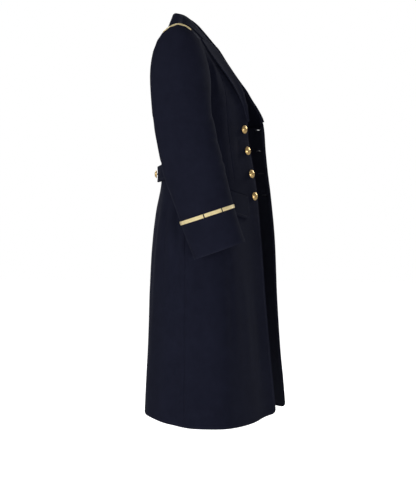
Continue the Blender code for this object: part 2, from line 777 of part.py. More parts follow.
def pocket_flap(name, side, material):
    """Flap of the front pocket, its top edge rising towards the side."""
    rows = 4
    length, depth = FLAP_SIZE
    ends = (FLAP_EDGE_DISTANCE, FLAP_EDGE_DISTANCE + length)
    middle_level = level_of((FLAP_TOP_Z[0] + FLAP_TOP_Z[1] - depth) / 2)
    low, high = [share_at(side, "front", end, middle_level) for end in ends]
    columns = lines_between(low, high, PANEL_SHARES["front"])
    outer, inner = [], []
    for r in range(rows + 1):
        outer_row, inner_row = [], []
        for u in columns:
            along = (u - low) / (high - low)
            top_z = FLAP_TOP_Z[0] + (FLAP_TOP_Z[1] - FLAP_TOP_Z[0]) * along
            level = level_of(top_z - depth * r / rows)
            outer_row.append(clear_point(side, "front", u, level, LAY_GAP + FLAP))
            inner_row.append(clear_point(side, "front", u, level, LAY_GAP))
        outer.append(outer_row)
        inner.append(inner_row)
    return wall(name, outer, inner, material)


def facing(name, side, material):
    """Facing on the inside of a front's edge, hem to break."""
    low, high = FACING_LEVELS
    depth = CLOTH + LAY_GAP
    levels = lines_between(low, high, PANEL_LEVELS)
    outer, inner = [], []
    for level in levels:
        ends = [share_at(side, "front", d, level) for d in (FACING_INSET, FACING_WIDTH)]
        shares = [ends[0]] + PANEL_SHARES["front"][1:3] + [ends[1]]
        outer.append([clear_point(side, "front", u, level, -depth) for u in shares])
        inner.append([clear_point(side, "front", u, level, -depth - FACING) for u in shares])
    return wall(name, outer, inner, material)


def belt_point(along, across, height):
    """Point of the half belt; along runs -1 to 1 from right to left, across -1 to 1 upwards."""
    side = "right" if along < 0 else "left"
    z = BELT_Z[0] + (BELT_Z[1] - BELT_Z[0]) * along * along + across * BELT_WIDTH / 2
    stand_off = LAY_GAP + BELT_STAND_OFF * (1 - along * along)
    distance = abs(along) * BELT_HALF_LENGTH
    return over_panel(side, "back", distance, level_of(z), stand_off + height)


def half_belt(name, material):
    """Half belt across the back of the waist, standing off it in the middle."""
    rows, columns = 3, 16
    outer, inner = [], []
    for r in range(rows + 1):
        across = -1 + 2 * r / rows
        places = [-1 + 2 * c / columns for c in range(columns + 1)]
        outer.append([belt_point(along, across, BELT) for along in places])
        inner.append([belt_point(along, across, 0) for along in places])
    return wall(name, outer, inner, material)


def button(name, centre, normal, material):
    """Domed shank button, turned about its axis."""
    turn = normal.to_track_quat("Z", "Y")
    vertices, faces = [centre.copy()], []
    for radius, height in BUTTON_PROFILE:
        for k in range(BUTTON_SIDES):
            angle = math.tau * k / BUTTON_SIDES
            spot = Vector((radius * math.cos(angle), radius * math.sin(angle), height))
            vertices.append(centre + turn @ spot)
    vertices.append(centre + normal * BUTTON_TOP)
    top = len(vertices) - 1
    rings = len(BUTTON_PROFILE)
    for k in range(BUTTON_SIDES):
        after = (k + 1) % BUTTON_SIDES
        faces.append((0, 1 + after, 1 + k))
        for r in range(rings - 1):
            a, b = 1 + r * BUTTON_SIDES, 1 + (r + 1) * BUTTON_SIDES
            faces.append((a + k, a + after, b + after, b + k))
        last = 1 + (rings - 1) * BUTTON_SIDES
        faces.append((last + k, last + after, top))
    return add_object(name, vertices, faces, material)


def braid_on_sleeve(name, side, degrees, places, material):
    """Band of braid that lies on a sleeve, between two angles and two places along it."""
    step = 360 / SLEEVE_SIDES
    low, high = min(degrees), max(degrees)
    first, last = math.ceil(low / step + 0.2), math.floor(high / step - 0.2)
    angles = [low] + [step * k for k in range(first, last + 1)] + [high]
    outer, inner = [], []
    for place in (places[0], (places[0] + places[1]) / 2, places[1]):
        outer_row, inner_row = [], []
        for angle in angles:
            turn = math.radians(angle)
            point = sleeve_point(side, turn, place)
            normal = sleeve_normal(side, turn, place)
            outer_row.append(point + normal * (LAY_GAP + BRAID))
            inner_row.append(point + normal * LAY_GAP)
        outer.append(outer_row)
        inner.append(inner_row)
    return wall(name, outer, inner, material)


# ---------------------------------------------------------------- the coat
def clear_scene():
    for item in list(bpy.data.objects):
        bpy.data.objects.remove(item, do_unlink=True)


def build():
    clear_scene()
    wool = make_material("navy_wool", (0.011, 0.012, 0.022), 0.85)
    gold_braid = make_material("gold_braid", (0.72, 0.52, 0.22), 0.45, 0.3)
    gold_metal = make_material("gold_metal", (0.80, 0.55, 0.22), 0.28, 1.0)
    for side in ("right", "left"):
        panel("back_" + side, side, "back", wool)
        panel("front_" + side, side, "front", wool)
        sleeve_piece("upper_sleeve_" + side, side, FORE_SEAM - SLEEVE_SIDES, HIND_SEAM, wool)
        sleeve_piece("under_sleeve_" + side, side, HIND_SEAM, FORE_SEAM, wool)
        lapel("lapel_" + side, side, wool)
        pocket_flap("pocket_flap_" + side, side, wool)
        places = (CUFF_BRAID_PLACE - CUFF_BRAID_HALF, CUFF_BRAID_PLACE + CUFF_BRAID_HALF)
        half_gap = CUFF_BRAID_GAP_WIDTH / 2
        back_gap, front_gap = CUFF_BRAID_GAPS
        braid_on_sleeve("cuff_braid_outer_" + side, side,
                        (front_gap + half_gap, back_gap - half_gap), places, gold_braid)
        braid_on_sleeve("cuff_braid_round_" + side, side,
                        (back_gap + half_gap, 360 + front_gap - half_gap), places, gold_braid)
        braid_on_sleeve("shoulder_braid_" + side, side, SHOULDER_BRAID_SPAN,
                        SHOULDER_BRAID_PLACES, gold_braid)
    collar("collar", wool)
    facing("facing_left", "left", wool)
    half_belt("half_belt", wool)
    for number, z in enumerate(BUTTON_LEVELS, 1):
        u = share_at("right", "front", BUTTON_EDGE_DISTANCE, level_of(z))
        normal = body_normal("right", "front", u, level_of(z))
        spot = clear_point("right", "front", u, level_of(z), LAY_GAP)
        button("button_front_%d" % number, spot, normal, gold_metal)
    for side, along in (("right", -1), ("left", 1)):
        along *= BELT_BUTTON_DISTANCE / BELT_HALF_LENGTH
        spot = belt_point(along, 0, BELT + LAY_GAP)
        normal = (spot - belt_point(along, 0, 0)).normalized()
        button("button_belt_" + side, spot, normal, gold_metal)


build()
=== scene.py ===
"""Looks of a long open wool uniform coat: melton shells, satin lining, gold lace and gilt buttons.

Metres, +Z up. The coat's front faces -Y, its right sleeve is at -X, and the origin is the neck
point. Each cloth piece is a thin shell on the same curves as its solid, with its creases added.
"""

import math

import bmesh
import bpy
import numpy as np
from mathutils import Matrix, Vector


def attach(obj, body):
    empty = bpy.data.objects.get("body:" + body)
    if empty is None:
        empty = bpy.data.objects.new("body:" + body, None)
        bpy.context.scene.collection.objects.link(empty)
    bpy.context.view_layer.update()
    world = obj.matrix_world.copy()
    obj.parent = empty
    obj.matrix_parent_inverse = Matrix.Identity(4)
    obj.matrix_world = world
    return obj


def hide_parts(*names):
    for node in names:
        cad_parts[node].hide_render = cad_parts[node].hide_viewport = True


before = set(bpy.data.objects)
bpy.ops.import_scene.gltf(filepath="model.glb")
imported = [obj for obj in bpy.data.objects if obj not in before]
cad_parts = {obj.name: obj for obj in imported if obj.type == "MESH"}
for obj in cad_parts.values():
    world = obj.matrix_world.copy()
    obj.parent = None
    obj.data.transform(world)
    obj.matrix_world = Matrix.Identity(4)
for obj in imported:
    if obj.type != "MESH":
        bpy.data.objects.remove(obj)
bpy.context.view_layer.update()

# ---------------------------------------------------------------- camera
CAMERA_PLACE = (-4.4118, -0.5256, -0.3374)
CAMERA_TARGET = (0.0064, -0.0613, -0.5936)
CAMERA_LENS = 117.95           # millimetres
SENSOR = 36                    # millimetres, the picture's long side

# ---------------------------------------------------------------- sizes shared with the solids
CLOTH = 0.003                  # wall of one cloth piece with its lining
LAY_GAP = 0.0004               # clearance between a piece and the panel that it lies on
HEM_Z = -1.070                 # middle level of the hem, below the neck point
ARM_Z = -0.215                 # underarm level
LOWER_RISE = ARM_Z - HEM_Z     # height of the lower part, from the hem to the underarm
ARM_RISE = 0.21                # height of the chest part, from the underarm to the shoulder
SEAM_A = 0.452                 # place of the side seam on a half section, back centre 0, edge 1
BACK_FULLNESS = 0.60           # how square the back half of a section is
SIDE_FULLNESS = 0.52           # how full the front half is beside the widest point
EDGE_FULLNESS = 0.42           # how straight it runs to the front edge
EDGE_ANGLE = math.radians(40)  # turn of the fronts at their edges, from square across
NECK_U = 0.375                 # share of the back's top that is neck, the rest is shoulder
LAYER_MID = 0.0022             # height of the middle of a cloth layer that lies on a panel
COLLAR_EDGE_MID = 0.0028       # the same, at the outer edge of the collar
BACK_LEAN, BACK_CLIMB = -0.10, 0.05      # how the back leans and climbs into its top edge
FRONT_LEAN, FRONT_CLIMB = 0.15, 0.06     # the same for a front
NORMAL_STEP = 0.01             # in shares and levels, for reading the slope of a surface
EDGE_STEP = 0.02               # the same, for the way on past the neck seam
FOLD_STEP = 0.002              # and for the way that a skirt fold rises

SECTIONS = (        # level, half width, y of the side, y of the centre back
    (-1.070, 0.268, -0.052, 0.1125),
    (-0.985, 0.258, -0.050, 0.1085),
    (-0.850, 0.240, -0.048, 0.1020),
    (-0.700, 0.222, -0.046, 0.0975),
    (-0.585, 0.206, -0.044, 0.0885),
    (-0.500, 0.188, -0.041, 0.0785),
    (-0.440, 0.174, -0.039, 0.0680),
    (-0.400, 0.168, -0.038, 0.0650),
    (-0.340, 0.168, -0.036, 0.0690),
    (-0.280, 0.171, -0.033, 0.0760),
    (-0.215, 0.175, -0.030, 0.0830),
)
HEM_COLUMNS = ("place", "right_z", "left_z")
HEMS = (
    (0.00, -1.0560, -1.0560),
    (0.22, -1.0575, -1.0580),
    (0.42, -1.0690, -1.0680),
    (0.60, -1.0755, -1.0730),
    (0.80, -1.0755, -1.0700),
    (1.00, -1.0660, -1.0640),
)
EDGE_COLUMNS = ("z", "right_x", "right_y", "left_x", "left_y")
EDGES = (
    (-1.070, -0.030, -0.2565, 0.070, -0.2770),
    (-0.985, -0.030, -0.2478, 0.070, -0.2700),
    (-0.900, -0.030, -0.2393, 0.070, -0.2615),
    (-0.750, -0.030, -0.2260, 0.068, -0.2520),
    (-0.585, -0.030, -0.2140, 0.066, -0.2450),
    (-0.463, -0.030, -0.2057, 0.064, -0.2335),
    (-0.400, -0.031, -0.1970, 0.062, -0.2255),
    (-0.336, -0.032, -0.1858, 0.061, -0.2190),
    (-0.280, -0.035, -0.1775, 0.060, -0.2150),
    (-0.250, -0.039, -0.1760, 0.060, -0.2085),
    (-0.215, -0.046, -0.1730, 0.060, -0.1905),
)
ROLL_LINES = {
    "right": ((-0.046, -0.1730, -0.215), (-0.053, -0.1600, -0.175), (-0.057, -0.1400, -0.136),
              (-0.060, -0.1110, -0.095), (-0.063, -0.0785, -0.052), (-0.067, -0.0430, -0.018),
              (-0.070, -0.0040, 0.008)),
    "left": ((0.060, -0.1905, -0.215), (0.060, -0.1610, -0.172), (0.061, -0.1345, -0.136),
             (0.062, -0.1065, -0.095), (0.063, -0.0780, -0.052), (0.067, -0.0430, -0.018),
             (0.070, -0.0040, 0.008)),
}
ARMHOLE = (         # from the shoulder tip, down the back and up the front
    (-0.190, -0.006, 0.000),
    (-0.180, 0.046, -0.030),
    (-0.164, 0.068, -0.100),
    (-0.166, 0.042, -0.178),
    None,                        # underarm, read from the side seam
    (-0.165, -0.060, -0.185),
    (-0.155, -0.078, -0.125),
    (-0.172, -0.054, -0.038),
)
CENTRE_BACK = ((0.0, 0.0830, -0.215), (0.0, 0.0885, -0.150), (0.0, 0.0800, -0.085),
               (0.0, 0.0590, -0.035), (0.0, 0.0400, 0.000))
NECK_BACK_MID = (-0.045, 0.030, 0.004)
NECK_SIDE = (-0.070, -0.004, 0.008)
SHOULDER_TIP = ARMHOLE[0]
SKIRT_FOLDS = {     # place along the half section, width there, rise, height where it starts
    "right": ((0.395, 0.045, 0.0060, -0.42), (0.500, 0.040, -0.0030, -0.46),
              (0.690, 0.070, 0.0050, -0.55), (0.850, 0.060, -0.0040, -0.60),
              (0.180, 0.070, -0.0040, -0.50)),
    "left": ((0.395, 0.050, 0.0055, -0.43), (0.520, 0.045, -0.0040, -0.50),
             (0.680, 0.060, 0.0060, -0.52), (0.830, 0.070, -0.0045, -0.62),
             (0.200, 0.080, -0.0035, -0.55)),
}
LAPEL = ((0.950, 0.006), (1.000, 0.016), (1.100, 0.026), (1.220, 0.042), (1.400, 0.062),
         (1.560, 0.078), (1.672, 0.084))        # body level, width from the roll line
GORGE_RISE = 0.55              # climb of the gorge seam out from the roll line, levels per metre
LAPEL_TUCK = 0.002             # how far an unfolded lapel starts past the edge
LAPEL_FOLD_WIDTHS = (0.008, 0.035)   # it folds over as it grows from one width to the other
LAPEL_FOLD = (      # distance from the roll line, share of the width added, height of the middle
    (-0.0024, 0.00, -0.0012),
    (-0.0032, 0.00, 0.0018),
    (-0.0008, 0.00, 0.0046),
    (0.0050, 0.04, 0.0060),
    (0.0, 0.36, 0.0050),
    (0.0, 0.68, 0.0032),
    (0.0, 1.00, LAYER_MID),
)
# Share and level of places on the panels: where the collar is sewn, and where its edge lies.
NECK_PLACES_BACK = ((0.0, 2.0), (0.18, 2.0), (NECK_U, 2.0))
NECK_PLACES_FRONT = ((0.0, 2.0), (0.0, 1.917), (0.0, 1.833), (0.0, 1.75), (0.0, 1.686))
EDGE_PLACES_BACK = ((0.0, 1.868), (0.32, 1.886), (0.61, 2.0))
EDGE_PLACES_FRONT = ((0.375, 2.0), (0.43, 1.95), (0.465, 1.890), (0.475, 1.82), (0.43, 1.765))
COLLAR_FOLD = ((0.0, 0.0290, 0.0410), (-0.034, 0.0210, 0.0395), (-0.057, -0.0030, 0.0320),
               (-0.0620, -0.0245, 0.0165), (-0.0625, -0.0440, -0.0045),
               (-0.0620, -0.0620, -0.0260), (-0.0610, -0.0790, -0.0475))
STAND_SECTION = ((0.50, 0.0010), (0.86, 0.0015))    # share of its way up, how far it leans in
FOLD_SECTION = ((0.0012, 0.0), (0.0060, 0.0016))    # how far outside the fold, how far below
FALL_SECTION = ((0.36, 0.0040), (0.68, 0.0026))     # share of its way down, how far it bulges
GORGE_STATIONS = (4.6, 6.0)          # where the fall comes down onto the gorge seam
SLEEVE = (          # centre, half depth, half thickness, and forward lean in degrees
    (-0.229, -0.0170, -0.245, 0.0785, 0.050, 6),
    (-0.231, -0.0265, -0.290, 0.0800, 0.050, 10),
    (-0.235, -0.0370, -0.339, 0.0805, 0.050, 12),
    (-0.240, -0.0500, -0.389, 0.0815, 0.050, 14),
    (-0.245, -0.0640, -0.434, 0.0780, 0.049, 17),
    (-0.250, -0.0785, -0.480, 0.0750, 0.048, 18),
    (-0.258, -0.1000, -0.545, 0.0730, 0.047, 19),
    (-0.266, -0.1210, -0.5985, 0.0710, 0.047, 20),
)
HEAD_REACH = (0.075, 0.020)    # how far the head leaves the armhole, at its top and below
HEAD_FULLNESS = 0.045          # how far its front and back swell past the armhole
HEAD_DROP = (0.170, 0.060)     # how long it turns down into the arm, at its top and below
HEAD_DIP = 0.25                # how steeply it leaves the underarm
ARM_OUT, ARM_AHEAD = 0.02, 0.10    # how the arm leans as the head runs into it
FLAP = 0.0035                  # thickness of a pocket flap
FLAP_SIZE = (0.150, 0.062)     # length along the waist, depth
FLAP_EDGE_DISTANCE = 0.050     # from the front edge to the flap
FLAP_TOP_Z = (-0.462, -0.428)  # top edge of the flap, at its front and back ends
BELT = 0.0035                  # thickness of the half belt
BELT_WIDTH = 0.045
BELT_HALF_LENGTH = 0.130
BELT_Z = (-0.407, -0.395)      # middle level of the half belt, at the centre back and at its ends
BELT_STAND_OFF = 0.0092        # how far it hangs off the back, at the centre back
BELT_BUTTON_DISTANCE = 0.055   # from the centre back
FACING = 0.0015                # thickness of the facing
FACING_WIDTH = 0.080
BUTTON_EDGE_DISTANCE = 0.019   # from the right front's edge
BUTTON_LEVELS = (-0.279, -0.338, -0.4015, -0.463)
BRAID = 0.0014                 # thickness of the gold lace
CUFF_BRAID_PLACE = 1.772       # along the sleeve, head 0 to 1, arm 1 to 2
CUFF_BRAID_HALF = 0.0100       # half its width, in the same measure
CUFF_BRAID_GAPS = (3.4, -37.0)     # degrees round the sleeve from its outer side, backwards
CUFF_BRAID_GAP_WIDTH = 2.4     # degrees
SHOULDER_BRAID_SPAN = (-25.0, 35.0)    # degrees round the armhole from its tip, backwards
SHOULDER_BRAID_PLACES = (0.012, 0.082)

# ---------------------------------------------------------------- sizes of what is added here
ROWS_BELOW = 130               # rows of a panel below the underarm
ROWS_ABOVE = 46
BACK_COLUMNS = 58
FRONT_COLUMNS = 84
HEAD_ROWS = 58                 # rows of a sleeve's head, and of its arm
ARM_ROWS = 90
SLEEVE_COLUMNS = {"upper": 74, "under": 46}
PANEL_WIDTH = 0.3              # a usual width of a panel, to space its columns by
ARM_RADIUS = 0.07              # a usual radius of a sleeve, to space its columns by
CORNER_RADIUS = 0.014          # of a front's lower corner
FLAP_RADIUS = 0.010            # of a pocket flap's lower corners
TURNED_HEM = 0.045             # wool turned up inside the hem, in metres
TURNED_CUFF = 1.86             # and inside the cuff, from this place along the sleeve
PIECE_EDGE = 0.0011            # rounding of a piece's edges
RUBBED = 0.007                 # how far from a small piece's edges the nap is worn
RUBBED_HEM = 0.008             # how far from a hem or a front edge
RUBBED_CUFF = 0.02             # how far from a cuff, in places along the sleeve
TOPSTITCH = 0.006              # from an edge to its stitching
LAPEL_SPRING = 0.0070          # how far a lapel's outer edge stands off the chest
DART_U = 0.40                  # place of a front's dart, as a share of the front


# ---------------------------------------------------------------- curves
def hermite(a, b, slope_a, slope_b, t):
    """Smooth run from a to b that leaves and arrives with the given slopes."""
    t2, t3 = t * t, t * t * t
    return (a * (2 * t3 - 3 * t2 + 1) + slope_a * (t3 - 2 * t2 + t)
            + b * (3 * t2 - 2 * t3) + slope_b * (t3 - t2))


def spline(points, t, closed=False, spread=0):
    """Smooth curve through evenly numbered points, at an array of t from 0 to 1.

    spread is 1 where each point is itself a row of points, 0 where it is one point.
    """
    points = np.asarray(points, float)
    t = np.asarray(t, float)
    count = len(points)
    if closed:
        place = (t % 1.0) * count
        index = np.minimum(place.astype(int), count - 1)
        at = lambda k: points[k % count]
    else:
        place = np.clip(t, 0, 1) * (count - 1)
        index = np.minimum(place.astype(int), count - 2)
        before, after = 2 * points[0] - points[1], 2 * points[-1] - points[-2]
        longer = np.concatenate([[before], points, [after]])
        at = lambda k: longer[k + 1]
    share = (place - index)[(...,) + (None,) * (1 + spread)]
    a, b = at(index), at(index + 1)
    return hermite(a, b, (b - at(index - 1)) / 2, (at(index + 2) - a) / 2, share)


def read_table(table, key):
    """All columns of a table but its first, at an array of that column's values."""
    rows = np.asarray(table, float)
    keys, values = rows[:, 0], rows[:, 1:]
    slopes = np.empty_like(values)
    slopes[1:-1] = (values[2:] - values[:-2]) / (keys[2:] - keys[:-2])[:, None]
    slopes[0] = (values[1] - values[0]) / (keys[1] - keys[0])
    slopes[-1] = (values[-1] - values[-2]) / (keys[-1] - keys[-2])
    key = np.asarray(key, float)
    index = np.clip(np.searchsorted(keys, key, "right") - 1, 0, len(keys) - 2)
    span = (keys[index + 1] - keys[index])[..., None]
    share = np.clip((key - keys[index])[..., None] / span, 0, 1)
    return hermite(values[index], values[index + 1], slopes[index] * span,
                   slopes[index + 1] * span, share)


def bezier(a, b, c, d, t):
    """Cubic curve from a to d with the handles b and c."""
    s = 1 - t
    return a * s ** 3 + b * 3 * s * s * t + c * 3 * s * t * t + d * t ** 3


def smooth_step(value, low, high):
    """0 up to low and 1 from high, with an easy rise between."""
    t = np.clip((np.asarray(value, float) - low) / (high - low), 0.0, 1.0)
    return t * t * (3 - 2 * t)


def smooth_fall(value, low, high):
    """1 up to low and 0 from high, with an easy fall between."""
    return 1 - smooth_step(value, low, high)


def unit(vectors):
    """Vectors of the same directions and of length 1."""
    return vectors / np.maximum(np.linalg.norm(vectors, axis=-1, keepdims=True), 1e-12)


def sided(points, side):
    """Points of the right half, or their mirror for the left half."""
    points = np.array(points, float)
    if side == "left":
        points[..., 0] = -points[..., 0]
    return points


def matched(*values):
    """Arrays of one shape, from arrays and numbers."""
    return np.broadcast_arrays(*(np.asarray(value, float) for value in values))


def stack(x, y, z):
    """Points from three arrays, or numbers, of coordinates."""
    return np.stack(np.broadcast_arrays(x, y, z), axis=-1).astype(float)


def bell(distance, width):
    """1 at no distance, falling away smoothly past a half width."""
    return np.exp(-(distance / width) ** 2)


def grid_lengths(grid):
    """Running distances along the rows and up the columns of a grid of points."""
    across = np.linalg.norm(np.diff(grid, axis=1), axis=-1)
    up = np.linalg.norm(np.diff(grid, axis=0), axis=-1)
    across = np.concatenate([np.zeros((grid.shape[0], 1)), np.cumsum(across, axis=1)], axis=1)
    up = np.concatenate([np.zeros((1, grid.shape[1])), np.cumsum(up, axis=0)], axis=0)
    return across, up


# ---------------------------------------------------------------- the body's surface
def section_point(side, a, z):
    """Body point at level z; a runs from the back centre, 0, to the front edge, 1."""
    a, z = matched(a, z)
    half_width, side_y, back_y = np.moveaxis(read_table(SECTIONS, z), -1, 0)
    first = EDGE_COLUMNS.index(side + "_x") - 1
    edge_x, edge_y = np.moveaxis(read_table(EDGES, z)[..., first:first + 2], -1, 0)
    outward = -1 if side == "right" else 1
    widest = stack(outward * half_width, side_y, z)
    start = stack(0, back_y, z)
    handle_a = stack(outward * BACK_FULLNESS * half_width, back_y, z)
    handle_b = widest + stack(0, BACK_FULLNESS * (back_y - side_y), 0)
    t = a[..., None] * 2
    behind = bezier(start, handle_a, handle_b, widest, t)
    edge = stack(edge_x, edge_y, z)
    reach = np.linalg.norm(edge - widest, axis=-1)
    handle_a = widest + stack(0, -SIDE_FULLNESS * reach, 0)
    turn = np.array((outward * math.cos(EDGE_ANGLE), math.sin(EDGE_ANGLE), 0))
    handle_b = edge + turn * EDGE_FULLNESS * reach[..., None]
    ahead = bezier(widest, handle_a, handle_b, edge, t - 1)
    return np.where(a[..., None] <= 0.5, behind, ahead)


def folded_point(side, a, z):
    """Body point below the underarm, with the skirt's long folds."""
    a, z = matched(a, z)
    along = (section_point(side, np.minimum(a + FOLD_STEP, 1), z)
             - section_point(side, np.maximum(a - FOLD_STEP, 0), z))
    outward = 1 if side == "left" else -1
    normal = unit(stack(along[..., 1], -along[..., 0], 0)) * outward
    rise = np.zeros_like(a)
    for place, width, height, top_z in SKIRT_FOLDS[side]:
        growth = np.clip((top_z - z) / (top_z - HEM_Z), 0, None)
        rise += height * growth * bell(a - place, width)
    return section_point(side, a, z) + normal * rise[..., None]


def armhole_point(side, t):
    """Point of the armhole, t 0 at the shoulder tip, 0.5 under the arm, back first."""
    under = section_point("right", SEAM_A, ARM_Z)
    loop = [under if point is None else point for point in ARMHOLE]
    return sided(spline(loop, t, closed=True), side)


def half_place(part, u):
    """Place along the half section, from the back centre, of a panel's share u."""
    return u * SEAM_A if part == "back" else 1 - u * (1 - SEAM_A)


def end_slope(side, a):
    """Upward slope of the lower body at the underarm level."""
    lower = section_point(side, a, ARM_Z - NORMAL_STEP)
    return (section_point(side, a, ARM_Z) - lower) * (ARM_RISE / NORMAL_STEP)


def top_point(side, part, u):
    """Point of a panel's top edge: the shoulder seam, and the neck on the back."""
    tip, neck_side = np.array(SHOULDER_TIP), np.array(NECK_SIDE)
    if part == "front":
        return sided(neck_side + (tip - neck_side) * u[..., None], side)
    neck = spline((CENTRE_BACK[-1], NECK_BACK_MID, NECK_SIDE), np.clip(u / NECK_U, 0, 1))
    share = np.clip((u - NECK_U) / (1 - NECK_U), 0, 1)[..., None]
    shoulder = neck_side + (tip - neck_side) * share
    return sided(np.where(u[..., None] < NECK_U, neck, shoulder), side)


def top_slope(part, u):
    """How a panel arrives at its top edge."""
    if part == "back":
        return stack(0, BACK_LEAN * np.minimum(1, u / NECK_U), BACK_CLIMB * (1 - u))
    return stack(0, FRONT_LEAN, FRONT_CLIMB * (1 - u))


def free_point(side, part, u, t):
    """Chest point led only by the panel's lower part and its top edge."""
    u, t = matched(u, t)
    a = half_place(part, u)
    return hermite(section_point(side, a, ARM_Z), top_point(side, part, u), end_slope(side, a),
                   top_slope(part, u), t[..., None])


def patch_point(side, part, u, t):
    """Point above the underarm level; u runs from the centre or roll line to the armhole."""
    u, t = matched(u, t)
    if part == "back":
        inner, arm = sided(spline(CENTRE_BACK, t), side), armhole_point(side, 0.5 * (1 - t))
    else:
        inner, arm = spline(ROLL_LINES[side], t), armhole_point(side, 0.5 * (1 + t))
    to_inner = inner - free_point(side, part, 0.0, t)
    to_arm = arm - free_point(side, part, 1.0, t)
    share = u[..., None]
    return free_point(side, part, u, t) + to_inner * (1 - share) ** 2 + to_arm * share ** 2


def level_height(side, part, u, level):
    """Height z of a body level below the underarm, at the panel's share u."""
    column = HEM_COLUMNS.index(side + "_z") - 1
    hem_z = read_table(HEMS, half_place(part, u))[..., column]
    return hem_z + (ARM_Z - hem_z) * level


def body_point(side, part, u, level):
    """Outer point of a back or front; level 0 is the hem, 1 the underarm, 2 the shoulder."""
    u, level = matched(u, level)
    z = level_height(side, part, u, np.minimum(level, 1))
    low = folded_point(side, half_place(part, u), z)
    high = patch_point(side, part, u, np.clip(level - 1, 0, 1))
    return np.where((level >= 1)[..., None], high, low)


# Where a panel's normal turns to the one that it shares with the next piece: in shares beside the
# side seam, in levels below the shoulder seam, and in shares beside the neck and centre back.
SEAM_BLEND, SHOULDER_BLEND = (0.90, 0.98), (1.96, 2.0)
NECK_BLEND, CENTRE_BLEND = 0.08, 0.02


def body_normal(side, part, u, level):
    """Outward normal of the body, the same on both sides of a seam."""
    u, level = matched(u, level)
    upward = (body_point(side, part, u, np.minimum(level + NORMAL_STEP, 2))
              - body_point(side, part, u, np.maximum(level - NORMAL_STEP, 0)))
    across = (body_point(side, part, np.minimum(u + NORMAL_STEP, 1), level)
              - body_point(side, part, np.maximum(u - NORMAL_STEP, 0), level))
    if part == "front":
        across = -across
    z = level_height(side, part, u, np.minimum(level, 1))
    a = half_place(part, u)
    seam = folded_point(side, a + NORMAL_STEP, z) - folded_point(side, a - NORMAL_STEP, z)
    near_seam = (smooth_step(u, *SEAM_BLEND) * (level < 1))[..., None]
    across = unit(across) * (1 - near_seam) + unit(seam) * near_seam
    normal = unit(np.cross(across, upward)) * (1 if side == "right" else -1)
    ridge = unit(np.cross(np.array(SHOULDER_TIP) - np.array(NECK_SIDE), (0.0, 1.0, 0.0)))
    ridge = sided(ridge if ridge[2] > 0 else -ridge, side)
    at_shoulder = smooth_step(level, *SHOULDER_BLEND)
    if part == "back":
        at_shoulder = at_shoulder * smooth_step(u, NECK_U - NECK_BLEND, NECK_U)
        normal[..., 0] *= smooth_step(u, 0.0, CENTRE_BLEND)
    return unit(normal * (1 - at_shoulder[..., None]) + ridge * at_shoulder[..., None])


def level_of(z):
    """Body level of a height below the underarm."""
    return (z - HEM_Z) / LOWER_RISE


